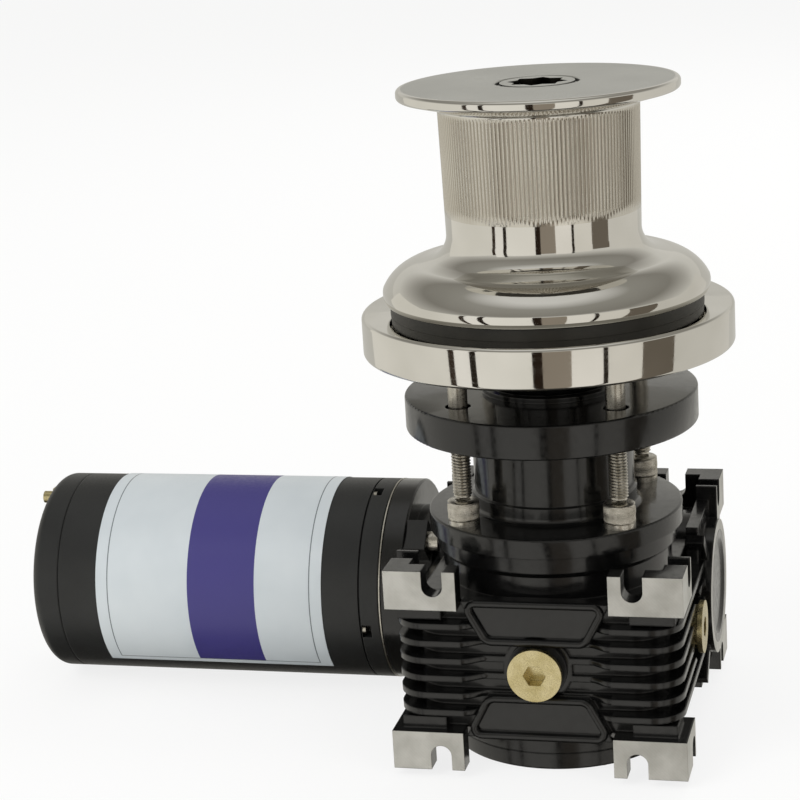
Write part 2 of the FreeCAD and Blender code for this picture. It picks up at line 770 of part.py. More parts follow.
def riser_pieces():
    screws = body("riser_screws")
    head, middle = "cap_screw_head_high", "cap_screw_circle_rad"
    off_axis_turned(screws, middle, [
        ("0", "-cap_screw_long"), ("cap_screw_rad", "-cap_screw_long"), ("cap_screw_rad", "0"),
        ("cap_screw_head_rad", "0"), ("cap_screw_head_rad", f"{head} - cap_screw_rad / 6"),
        ("cap_screw_head_rad - cap_screw_rad / 6", head), ("0", head)])
    corners = [(f"{middle} + {x}", y) for x, y in hexagon("cap_screw_hex")]
    hollow(screws, "XY", corners, head, "cap_screw_head_high / 2", "Socket")
    seat = "riser_foot_top + spring_washer_thick"
    place(ring_of("RiserScrews", screws, 4), z=seat, turn=UP_ROUND)
    washers = body("riser_spring_washers")
    off_axis_turned(washers, middle, [
        ("cap_screw_rad + fit_gap", "0"), ("spring_washer_rad", "0"),
        ("spring_washer_rad", "spring_washer_thick"),
        ("cap_screw_rad + fit_gap", "spring_washer_thick")])
    place(ring_of("RiserWashers", washers, 4), z="riser_foot_top", turn=UP_ROUND)
    bearing_middle = "riser_top - riser_bore_deep + riser_bearing_wide / 2"
    bearing("riser_bearing", "shaft_rad", "riser_bore_rad", "riser_bearing_wide",
            [("0", "0", bearing_middle)])
    seal_low = "riser_top - riser_bore_deep + riser_bearing_wide"
    turned("riser_seal", [
        ("shaft_rad + run_gap", seal_low), ("riser_bore_rad", seal_low),
        ("riser_bore_rad", f"{seal_low} + worm_seal_wide"),
        ("riser_bore_rad - riser_edge * 2", f"{seal_low} + worm_seal_wide"),
        ("riser_bore_rad - riser_edge * 3", f"{seal_low} + worm_seal_wide - riser_edge"),
        ("shaft_rad + run_gap", f"{seal_low} + worm_seal_wide - riser_edge")])


# ---------------------------------------------------------------- gearbox
def rounded_plate(label, half_wide, front, rear, corner, low, thick):
    """A level plate with four round corners, for the housing's core and fins."""
    new = body(label)
    points = [
        (f"-{half_wide} + {corner}", f"-{front}"),
        (f"{half_wide} - {corner}", f"-{front}", corner, "right"),
        (half_wide, f"-{front} + {corner}"),
        (half_wide, f"{rear} - {corner}", corner, "right"),
        (f"{half_wide} - {corner}", rear),
        (f"-{half_wide} + {corner}", rear, corner, "right"),
        (f"-{half_wide}", f"{rear} - {corner}"),
        (f"-{half_wide}", f"-{front} + {corner}", corner, "right"),
    ]
    prism(new, "XY", points, low, f"{low} + {thick}")
    return new


def fins():
    """Level cooling fins round the housing, set back in the middle of the front."""
    plates = []
    count = int(number("fin_count"))
    for index in range(count):
        middle = f"gear_plane + ({index} - ({count} - 1) / 2) * fin_pitch"
        plates.append(rounded_plate(f"Fin{index}", "fin_reach", "fin_reach", "fin_rear",
                                    "fin_corner", f"{middle} - fin_thick / 2", "fin_thick"))
    stack = fuse("FinStack", *plates)
    window = box("FinWindow",
                 ("-fin_gap_half", "-box_half - 1", "gear_plane - foot_half"),
                 ("fin_gap_half", "fin_set_back - fin_reach", "gear_plane + foot_half"))
    return cut("Fins", stack, window)


def foot(name, side, end, level):
    """One corner's pair of feet: legs on the front or rear and on the side, each with an
    open slot. side, end and level are +1 or -1 along X, Y and Z."""
    def span(low, high, sign):
        return (low, high) if sign > 0 else (f"-({high})", f"-({low})")

    reach = "box_rear" if end > 0 else "box_half"
    z_low = "gear_plane + foot_half - foot_high" if level > 0 else "gear_plane - foot_half"
    z_high = "gear_plane + foot_half" if level > 0 else "gear_plane - foot_half + foot_high"
    legs = []
    for part, x_low, y_low in (("Front", "box_half - foot_wide - foot_corner", f"{reach} - foot_leg"),
                               ("Side", "box_half - foot_leg", f"{reach} - foot_wide")):
        x_span = span(x_low, "box_half", side)
        y_span = span(y_low, reach, end)
        legs.append(box(f"{name}{part}", (x_span[0], y_span[0], z_low), (x_span[1], y_span[1], z_high)))
    x_span = span("core_half_wide - core_corner", "box_half - foot_back", side)
    y_span = span("core_front - core_corner" if end < 0 else "core_rear - core_corner",
                  f"{reach} - foot_back", end)
    floor_low = "gear_plane + core_half_high - floor_thick" if level > 0 else "gear_plane - core_half_high"
    floor_high = "gear_plane + core_half_high" if level > 0 else "gear_plane + floor_thick - core_half_high"
    legs.append(box(f"{name}Floor", (x_span[0], y_span[0], floor_low), (x_span[1], y_span[1], floor_high)))
    return fuse(name, *legs)


def slots():
    """The open slots of all the feet: a round end and a straight mouth each."""
    cutters = []
    for level in (1, -1):
        seat = f"gear_plane + {level} * (foot_half - slot_deep + slot_half_width)"
        z_low, z_high = ((seat, "gear_plane + foot_half + 1") if level > 0
                         else ("gear_plane - foot_half - 1", seat))
        for side in (1, -1):
            middle = f"{side} * slot_pitch_half"
            tag = f"{'Up' if level > 0 else 'Low'}{'Right' if side > 0 else 'Left'}"
            for row, start, end in (("Front", "-box_half - 1", "foot_leg - box_half + 1"),
                                    ("Rear", "box_rear - foot_leg - 1", "box_rear + 1")):
                cutters.append(box(f"{tag}{row}Mouth", (f"{middle} - slot_half_width", start, z_low),
                                   (f"{middle} + slot_half_width", end, z_high)))
                cutters.append(cylinder(f"{tag}{row}Round", "slot_half_width", f"({end}) - ({start})",
                                        middle, end, seat, ALONG_MINUS_Y))
            start = "box_half - foot_leg - 1" if side > 0 else "-box_half - 1"
            end = "box_half + 1" if side > 0 else "foot_leg - box_half + 1"
            for row, along in (("Front", "-slot_pitch_half"), ("Rear", "box_rear - box_half + slot_pitch_half")):
                cutters.append(box(f"{tag}Side{row}Mouth", (start, f"{along} - slot_half_width", z_low),
                                   (end, f"{along} + slot_half_width", z_high)))
                cutters.append(cylinder(f"{tag}Side{row}Round", "slot_half_width",
                                        f"({end}) - ({start})", start, along, seat, ALONG_X))
    return cutters


def apron(level):
    """A framed panel that narrows from the output boss towards the front oil plug."""
    sign = "" if level > 0 else "-"
    tag = "Upper" if level > 0 else "Lower"
    wide = f"gear_plane {'+' if level > 0 else '-'} apron_level"
    narrow = f"{wide} {'-' if level > 0 else '+'} apron_high"
    new = body(f"{tag}Apron")
    outer = [("-apron_top_half", wide), ("apron_top_half", wide),
             ("apron_foot_half", narrow), ("-apron_foot_half", narrow)]
    prism(new, "XZ", outer, "core_front - 2", "apron_reach")
    rim = f"{sign}apron_rim"
    inner = [("-apron_top_half + apron_rim", f"{wide} - ({rim})"),
             ("apron_top_half - apron_rim", f"{wide} - ({rim})"),
             ("apron_foot_half - apron_rim / 2", f"{narrow} + {rim}"),
             ("-apron_foot_half + apron_rim / 2", f"{narrow} + {rim}")]
    hollow(new, "XZ", inner, "apron_reach", "apron_sink", "Panel")
    return new


def gearbox_housing():
    """Finned worm-gear housing with slotted feet at its eight corners."""
    low, high = "gear_plane - face_half + cover_thick", "gear_plane + face_half"
    core = rounded_plate("Core", "core_half_wide", "core_front", "core_rear", "core_corner",
                         "gear_plane - core_half_high", "core_half_high * 2")
    boss = turned("WheelBoss", [
        ("0", low), ("boss_rad", low), ("boss_rad", f"{high} - neck_high"),
        ("neck_rad", f"{high} - neck_high + boss_rad - neck_rad"), ("neck_rad", high), ("0", high)])
    barrel = on_worm_axis(turned("WormBarrel", [
        ("-box_half", "0"), ("-box_half", "worm_ring_rad"), ("-worm_barrel_end", "worm_ring_rad"),
        ("-worm_barrel_end", "worm_barrel_rad"), ("worm_barrel_end", "worm_barrel_rad"),
        ("worm_barrel_end", "worm_ring_rad"), ("worm_ring_face", "worm_ring_rad"),
        ("worm_ring_face", "0")], upright=False))
    feet = [foot(f"Foot{side + 1}{end + 1}{level + 1}", side, end, level)
            for side in (1, -1) for end in (1, -1) for level in (1, -1)]
    walls = []
    for side in (1, -1):
        x_low = "box_half - foot_leg" if side > 0 else "foot_leg - box_half - end_wall_thick"
        walls.append(box(f"EndWall{side + 1}",
                         (x_low, "centre_distance - worm_ring_rad", "gear_plane - end_wall_half"),
                         (f"{x_low} + end_wall_thick", "box_rear - foot_leg / 2",
                          "gear_plane + end_wall_half")))
        walls.append(box(f"WallRoot{side + 1}",
                         ("-core_half_wide + foot_leg" if side < 0 else "0",
                          "centre_distance", "gear_plane - core_half_high"),
                         ("0" if side < 0 else "core_half_wide", "box_rear - foot_leg",
                          "gear_plane + core_half_high")))
    webs = []
    for index in range(4):
        web = box(f"Web{index}", ("box_half - foot_leg", "0", "-web_thick / 2"),
                  ("box_half - web_thick / 4", "end_wall_half * 1.25", "web_thick / 2"))
        holder = document.addObject("Part::Compound", f"WebTurn{index}")
        holder.Links = [web]
        place(holder, y="centre_distance", z="gear_plane",
              turn=Rotation(Vector(1, 0, 0), 45 + 90 * index))
        webs.append(holder)
    trim = box("WebTrim", ("0", "0", "gear_plane - end_wall_half"),
               ("box_half", "box_rear - foot_leg / 2", "gear_plane + end_wall_half"))
    ribs = common("Webs", fuse("WebStar", *webs), trim)
    plug_bosses = [
        cylinder("FrontPlugBoss", "plug_boss_rad", "plug_seat - wheel_room_rad", "0",
                 "-wheel_room_rad", "gear_plane", ALONG_MINUS_Y),
        cylinder("SidePlugBoss", "plug_boss_rad", "plug_seat - wheel_room_rad",
                 "wheel_room_rad", "0", "gear_plane", ALONG_X)]
    solid = fuse("HousingSolid", core, boss, barrel, *feet, fins(), apron(1), apron(-1),
                 *walls, ribs, *plug_bosses)
    seat_low = "gear_plane + wheel_bearing_out - wheel_bearing_wide / 2"
    room = turned("WheelRoom", [
        ("0", f"{low} - 1"), ("wheel_room_rad", f"{low} - 1"),
        ("wheel_room_rad", seat_low), ("wheel_bearing_rad + fit_gap", seat_low),
        ("wheel_bearing_rad + fit_gap", f"{high} - riser_spigot_high - fit_gap"),
        ("riser_spigot_rad + fit_gap", f"{high} - riser_spigot_high - fit_gap"),
        ("riser_spigot_rad + fit_gap", f"{high} + 1"), ("0", f"{high} + 1")])
    bearing_in = "worm_bearing_out - worm_bearing_wide / 2"
    worm_room = on_worm_axis(turned("WormRoom", [
        ("-box_half - 1", "0"), ("-box_half - 1", "worm_bearing_rad + fit_gap"),
        (f"-({bearing_in})", "worm_bearing_rad + fit_gap"), (f"-({bearing_in})", "worm_room_rad"),
        (bearing_in, "worm_room_rad"), (bearing_in, "worm_bearing_rad + fit_gap"),
        ("worm_ring_face - end_cap_thick", "worm_bearing_rad + fit_gap"),
        ("worm_ring_face - end_cap_thick", "end_cap_rad + fit_gap"),
        ("worm_ring_face + 1", "end_cap_rad + fit_gap"), ("worm_ring_face + 1", "0")], upright=False))
    plug_holes = [
        cylinder("FrontPlugHole", "plug_thread_rad + fit_gap", "plug_seat", "0",
                 "-wheel_room_rad / 2", "gear_plane", ALONG_MINUS_Y),
        cylinder("SidePlugHole", "plug_thread_rad + fit_gap", "plug_seat",
                 "wheel_room_rad / 2", "0", "gear_plane", ALONG_X)]
    riser_drill, cover_drill = body("RiserDrill"), body("CoverDrill")
    for drill, circle, radius, start, end in (
            (riser_drill, "cap_screw_circle_rad", "cap_screw_rad + fit_gap",
             f"{high} - cap_screw_long + riser_foot_thick - fit_gap", f"{high} + 1"),
            (cover_drill, "cover_screw_circle_rad", "cover_screw_rad + fit_gap",
             f"{low} - 1", f"{low} + cover_screw_long + fit_gap")):
        off_axis_turned(drill, circle, [("0", start), (radius, start), (radius, end), ("0", end)])
    clear = "fin_reach - plug_seat + 2"
    plug_rooms = [
        cylinder("FrontPlugRoom", "plug_boss_rad", clear, "0", "-plug_seat", "gear_plane",
                 ALONG_MINUS_Y),
        cylinder("SidePlugRoom", "plug_boss_rad", clear, "plug_seat", "0", "gear_plane", ALONG_X)]
    screw_holes = [
        place(ring_of("RiserDrill", riser_drill, 4), turn=UP_ROUND),
        ring_of("CoverDrill", cover_drill, int(number("cover_screw_count"))),
        pegs("HousingFlangeHoles", "flange_screw_circle_rad", QUARTER_ANGLES,
             [("small_screw_rad + fit_gap", "-box_half - 1",
               "flange_screw_grip - box_half + fit_gap")])]
    return cut("gearbox_housing", solid, room, worm_room, *plug_holes, *plug_rooms,
               *slots(), *screw_holes)


def gearbox_cover():
    """Lower output cover: a flange with a spigot that carries the wheel's lower bearing."""
    low, face = "cover_low", "cover_low + cover_thick"
    inner = "wheel_bearing_rad + fit_gap"
    seat = "gear_plane - wheel_bearing_out + wheel_bearing_wide / 2"
    blank = turned("CoverBlank", [
        ("cover_lip_rad + fit_gap", low),
        ("boss_rad - riser_edge", low, "riser_edge", "right"),
        ("boss_rad", f"{low} + riser_edge"),
        ("boss_rad", face),
        ("wheel_room_rad - fit_gap", face),
        ("wheel_room_rad - fit_gap", seat),
        (inner, seat),
        (inner, f"{low} + riser_spigot_high"),
        ("cover_lip_rad + fit_gap", f"{low} + riser_spigot_high")])
    sunk, hole = "cover_screw_head_rad + fit_gap", "cover_screw_rad + fit_gap"
    seats, screws = body("CoverSeats"), body("cover_screws")
    off_axis_turned(seats, "cover_screw_circle_rad", [
        ("0", f"{low} - 1"), (sunk, f"{low} - 1"), (sunk, f"{low} + cover_screw_head_high"),
        (hole, f"{low} + cover_screw_head_high"), (hole, f"{face} + 1"), ("0", f"{face} + 1")])
    off_axis_turned(screws, "cover_screw_circle_rad", [
        ("0", low), ("cover_screw_head_rad", low),
        ("cover_screw_head_rad", f"{low} + cover_screw_head_high"),
        ("cover_screw_rad", f"{low} + cover_screw_head_high"),
        ("cover_screw_rad", f"{face} + cover_screw_long"), ("0", f"{face} + cover_screw_long")])
    count = int(number("cover_screw_count"))
    ring_of("CoverScrews", screws, count)
    cut("gearbox_cover", blank, ring_of("CoverSeats", seats, count))


def gearbox_pieces():
    gearbox_cover()
    seal_high = "gear_plane + wheel_bearing_out + wheel_bearing_wide / 2"
    seals = []
    for name, low, high in (
            ("UpperSeal", seal_high, f"{seal_high} + wheel_seal_wide - fit_gap"),
            ("LowerSeal", "cover_low + riser_spigot_high",
             "gear_plane - wheel_bearing_out - wheel_bearing_wide / 2")):
        seals.append(turned(name, [
            ("hub_journal_rad + run_gap", low), ("wheel_bearing_rad", low),
            ("wheel_bearing_rad", high), ("hub_journal_rad + run_gap", high)]))
    group("wheel_seals", seals)
    turned("shaft_cover", [
        ("0", "cover_low"), ("cover_lip_rad", "cover_low"),
        ("cover_lip_rad", "cover_low + riser_spigot_high"), ("0", "cover_low + riser_spigot_high")])
    bearing("wheel_bearing", "wheel_bearing_bore", "wheel_bearing_rad", "wheel_bearing_wide",
            [("0", "0", "gear_plane + wheel_bearing_out"),
             ("0", "0", "gear_plane - wheel_bearing_out")])
    bearing("worm_bearing", "worm_bearing_bore", "worm_bearing_rad", "worm_bearing_wide",
            [("worm_bearing_out", "centre_distance", "gear_plane"),
             ("-worm_bearing_out", "centre_distance", "gear_plane")], ALONG_X)
    seal_at = "-worm_bearing_out - worm_bearing_wide / 2"
    on_worm_axis(turned("worm_seal", [
        (f"{seal_at} - worm_seal_wide", "worm_bearing_bore + run_gap"),
        (f"{seal_at} - worm_seal_wide", "worm_bearing_rad"),
        (seal_at, "worm_bearing_rad"),
        (seal_at, "worm_bearing_bore + run_gap")], upright=False))
    on_worm_axis(turned("worm_end_cap", [
        ("worm_ring_face - end_cap_thick", "0"),
        ("worm_ring_face - end_cap_thick", "end_cap_rad"),
        ("worm_ring_face", "end_cap_rad"),
        ("worm_ring_face", "end_cap_rad * 0.85"),
        ("worm_ring_face - end_cap_dish", "end_cap_rad * 0.8"),
        ("worm_ring_face - end_cap_dish", "0")], upright=False))


def oil_plugs():
    """Brass oil plugs with a hexagon collar under a round head, at the front and the right."""
    plugs, washers = [], []
    for name, turn, spot in (
            ("FrontPlug", ALONG_MINUS_Y, ("0", "-plug_seat", "gear_plane")),
            ("SidePlug", ALONG_X, ("plug_seat", "0", "gear_plane"))):
        plug = body(name)
        collar = "plug_washer_thick + plug_collar_long"
        spun(plug, [
            ("0", "-plug_thread_long"), ("plug_thread_rad", "-plug_thread_long"),
            ("plug_thread_rad", "plug_washer_thick"),
            ("plug_collar_width / 2", "plug_washer_thick"), ("plug_collar_width / 2", collar),
            ("plug_rad", collar), ("plug_rad", f"{collar} + plug_flange_thick"),
            ("0", f"{collar} + plug_flange_thick")], name="Head")
        prism(plug, "XY", hexagon("plug_collar_width"), "plug_washer_thick", collar, "Collar")
        hollow(plug, "XY", hexagon("plug_hex"), f"{collar} + plug_flange_thick",
               "plug_hex_deep", "Socket")
        plugs.append(place(plug, *spot, turn))
        washer = turned(name + "Washer", [
            ("plug_thread_rad + fit_gap", "0"), ("plug_washer_rad", "0"),
            ("plug_washer_rad", "plug_washer_thick"),
            ("plug_thread_rad + fit_gap", "plug_washer_thick")])
        washers.append(place(washer, *spot, turn))
    group("oil_plugs", plugs)
    group("plug_washers", washers)


# ---------------------------------------------------------------- worm and wheel
def involute_gear_wire(level, turn):
    """The wheel's outline at one level: involute flanks, narrowed by the backlash."""
    teeth = int(number("wheel_teeth"))
    pitch, outer = number("wheel_pitch_rad"), number("wheel_edge_rad")
    root = number("centre_distance - worm_tip_rad - tooth_root_clear")
    angle = math.radians(number("pressure_angle"))
    base = pitch * math.cos(angle)
    half_tooth = math.pi / (2 * teeth) - number("tooth_backlash") / (2 * pitch)
    lean = math.tan(angle) - angle
    flank = []
    for step in range(5):
        radius = max(root, base) + (outer - max(root, base)) * step / 4
        roll = math.sqrt((radius / base) ** 2 - 1)
        narrowed = half_tooth + lean - (roll - math.atan(roll))
        flank.append((radius, max(narrowed, number("tooth_top_half") / pitch)))
    corners = []
    for tooth in range(teeth):
        middle = 2 * math.pi * (tooth + 0.5) / teeth + math.pi / 2 + turn
        start = flank[0][1]
        if root < flank[0][0]:
            corners.append((root, middle - start))
        corners += [(radius, middle - half) for radius, half in flank]
        corners += [(radius, middle + half) for radius, half in reversed(flank)]
        if root < flank[0][0]:
            corners.append((root, middle + start))
    points = [Vector(radius * math.cos(at), radius * math.sin(at), level) for radius, at in corners]
    return Part.makePolygon(points + points[:1])


def worm_wheel():
    """Bronze rim with helical, throated teeth that meshes with the worm."""
    half = number("wheel_half_wide")
    lead = math.atan(number("gear_module") / (2 * number("worm_pitch_rad")))
    middle = number("gear_plane")
    wires = []
    for step in (-1, 1):
        turn = step * half * math.tan(lead) / number("wheel_pitch_rad")
        wires.append(involute_gear_wire(middle + step * half, turn))
    teeth = Part.makeLoft(wires, True, True)
    throat = body("WheelThroat")
    spun(throat, [
        ("rim_root_rad", "-wheel_half_wide"),
        ("wheel_edge_rad - gear_module", "-wheel_half_wide"),
        ("wheel_edge_rad", "-wheel_half_wide + gear_module"),
        ("wheel_edge_rad", "-throat_half", "throat_rad", "left"),
        ("wheel_edge_rad", "throat_half"),
        ("wheel_edge_rad", "wheel_half_wide - gear_module"),
        ("wheel_edge_rad - gear_module", "wheel_half_wide"),
        ("rim_root_rad", "wheel_half_wide")])
    place(throat, z="gear_plane")
    rim = shaped("WheelTeeth", teeth)
    return common("worm_wheel", rim, throat)


def worm_thread():
    """Single-start right-hand thread with straight flanks, along X about the worm's axis."""
    pitch = math.pi * number("gear_module")
    root, tip = number("worm_root_rad"), number("worm_tip_rad")
    slope = math.tan(math.radians(number("pressure_angle")))
    half = number("worm_half_long")
    middle = pitch / 4 - number("tooth_backlash") / 4
    sunk = root - 0.5
    wide = middle + (number("worm_pitch_rad") - sunk) * slope
    slim = middle - (tip - number("worm_pitch_rad")) * slope
    turns = math.floor((2 * half - pitch) / pitch)
    height = turns * pitch
    helix = Part.makeHelix(pitch, height, number("worm_pitch_rad"))
    points = [Vector(sunk, 0, -wide), Vector(tip, 0, -slim), Vector(tip, 0, slim), Vector(sunk, 0, wide)]
    profile = Part.makePolygon(points + points[:1])
    thread = Part.Wire(helix.Edges).makePipeShell([profile], True, True)
    thread.translate(Vector(0, 0, -height / 2))
    return thread, height


def keyed(label, blank, half_wide, side, low, high, along_x=False):
    """Cut a keyway into a shaft or bore; side is a pair of distances from the axis."""
    if along_x:
        cutter = box(label + "Keyway", (low, f"centre_distance - {half_wide}", f"gear_plane + {side[0]}"),
                     (high, f"centre_distance + {half_wide}", f"gear_plane + {side[1]}"))
    else:
        cutter = box(label + "Keyway", (side[0], f"-{half_wide}", low), (side[1], half_wide, high))
    return cut(label, blank, cutter)


KEY_SEAT = "shaft_rad - key_sink"
KEY_TOP = "shaft_rad - key_sink + key_height"
KEY_HALF = "(key_width / 2 + fit_gap)"
WHEEL_KEY_HALF_LONG = "(wheel_bearing_out - wheel_bearing_wide)"


def shaft_pieces():
    """Upright output shaft, the wheel's hub and the keys that join shaft, hub and drum."""
    crown = "drum_top - cap_thick - face_gap"
    low = "gear_plane - shaft_foot_drop"
    blank = turned("ShaftBlank", [
        ("0", low), ("shaft_rad", low), ("shaft_rad", crown),
        ("cap_stub_rad + fit_gap", crown),
        ("cap_stub_rad + fit_gap", f"{crown} - cap_stub_long"),
        ("0", f"{crown} - cap_stub_long")])
    drum_key = ("bush_top + 4 * run_gap + key_height", "drum_top - cap_thick - key_height")
    wheel_key = (f"gear_plane - {WHEEL_KEY_HALF_LONG}", f"gear_plane + {WHEEL_KEY_HALF_LONG}")
    cutters = []
    for name, span in (("DrumKeySeat", drum_key), ("WheelKeySeat", wheel_key)):
        cutters.append(box(name, (f"{KEY_SEAT} - fit_gap", f"-{KEY_HALF}", f"{span[0]} - fit_gap"),
                           ("shaft_rad + 1", KEY_HALF, f"{span[1]} + fit_gap")))
    cut("main_shaft", blank, *cutters)
    for label, span in (("drum_key", drum_key), ("wheel_key", wheel_key)):
        box(label, (KEY_SEAT, "-key_width / 2", span[0]), (KEY_TOP, "key_width / 2", span[1])).Label = label
    half = "(wheel_bearing_out + wheel_bearing_wide / 2 + wheel_seal_wide)"
    inside = "(wheel_bearing_out - wheel_bearing_wide / 2)"
    web_low, web_high = "gear_plane - wheel_half_wide", "gear_plane + wheel_half_wide"
    hub = turned("HubBlank", [
        ("shaft_rad + fit_gap", f"gear_plane - {half}"), ("hub_journal_rad", f"gear_plane - {half}"),
        ("hub_journal_rad", f"gear_plane - {inside}"), ("hub_web_rad", f"gear_plane - {inside}"),
        ("hub_web_rad", web_low), ("rim_root_rad - fit_gap", web_low),
        ("rim_root_rad - fit_gap", web_high), ("hub_web_rad", web_high),
        ("hub_web_rad", f"gear_plane + {inside}"), ("hub_journal_rad", f"gear_plane + {inside}"),
        ("hub_journal_rad", f"gear_plane + {half}"), ("shaft_rad + fit_gap", f"gear_plane + {half}")])
    keyed("wheel_hub", hub, KEY_HALF, ("0", f"{KEY_TOP} + fit_gap"),
          f"gear_plane - {half} - 1", f"gear_plane + {half} + 1")


def worm_shaft():
    """Worm on a hollow shaft that the motor's shaft drives, carried by two bearings."""
    thread, height = worm_thread()
    pitch = math.pi * number("gear_module")
    # the middle of the thread faces the wheel
    thread.rotate(Vector(0, 0, 0), Vector(0, 0, 1), -90 - 180 * height / pitch)
    thread.rotate(Vector(0, 0, 0), Vector(0, 1, 0), 90)
    thread.translate(Vector(0, number("centre_distance"), number("gear_plane")))
    bore = "motor_shaft_rad + fit_gap"
    blank = on_worm_axis(turned("WormBlank", [
        ("-worm_shaft_end", bore), ("-worm_shaft_end", "worm_bearing_bore"),
        ("-worm_half_long", "worm_bearing_bore"), ("-worm_half_long", "worm_root_rad"),
        ("worm_half_long", "worm_root_rad"), ("worm_half_long", "worm_bearing_bore"),
        ("worm_shaft_end - end_cap_thick", "worm_bearing_bore"), ("worm_shaft_end - end_cap_thick", "0"),
        ("worm_bore_deep - worm_shaft_end", "0"), ("worm_bore_deep - worm_shaft_end", bore)],
        upright=False))
    solid = fuse("WormSolid", blank, shaped("WormThread", thread))
    keyed("worm_shaft", solid, "(motor_key_width / 2 + fit_gap)",
          ("0", "motor_key_top + fit_gap"),
          "-worm_shaft_end - 1", "worm_bore_deep - worm_shaft_end", along_x=True)


# ---------------------------------------------------------------- motor
def motor_adapter():
    """Adapter between gearbox and motor: a disc, a hub with a spigot and four screw lugs."""
    seal_end = "worm_bearing_out + worm_bearing_wide / 2 + worm_seal_wide"
    spigot = "worm_bearing_rad - fit_gap"
    blank = on_worm_axis(turned("AdapterBlank", [
        ("-bell_front", "motor_bearing_rad"), ("-bell_front", "motor_rad - joint_groove"),
        ("-bell_front + joint_groove", "motor_rad"),
        ("-adapter_face - joint_groove", "motor_rad"),
        ("-adapter_face", "motor_rad - joint_groove"), ("-adapter_face", "worm_barrel_rad"),
        ("-box_half", "worm_barrel_rad"), ("-box_half", spigot),
        (f"-({seal_end})", spigot), (f"-({seal_end})", "worm_bearing_bore + 1"),
        ("-box_half", "worm_bearing_bore + 1"), ("-box_half", "motor_bearing_rad")],
        upright=False))
    seat, flange_seat = "(lug_gap - box_half)", "(small_screw_head_high + face_gap - bell_front)"
    lugs = spokes("Lug", LUG_ANGLES, ("-adapter_face - 1", "worm_barrel_rad - 1", "-lug_half_wide"),
                  (f"-box_half + lug_gap", "motor_rad - joint_groove", "lug_half_wide"))
    hole, sunk = "small_screw_rad + fit_gap", "small_screw_head_rad + fit_gap"
    cut("motor_adapter", fuse("AdapterSolid", blank, *lugs),
        pegs("LugHoles", "lug_circle_rad", LUG_ANGLES, [(hole, "-bell_front - 1", "1 - box_half")]),
        pegs("FlangeHoles", "flange_screw_circle_rad", QUARTER_ANGLES,
             [(hole, "-bell_front - 1", "1 - box_half"), (sunk, "-bell_front - 1", flange_seat)]))
    pegs("adapter_screws", "lug_circle_rad", LUG_ANGLES, [
        ("small_screw_rad", "-bell_front - bell_screw_grip", seat),
        ("small_screw_head_rad", seat, f"{seat} + small_screw_head_high")])
    pegs("flange_screws", "flange_screw_circle_rad", QUARTER_ANGLES, [
        ("small_screw_head_rad", f"{flange_seat} - small_screw_head_high", flange_seat),
        ("small_screw_rad", flange_seat, "flange_screw_grip - box_half")])


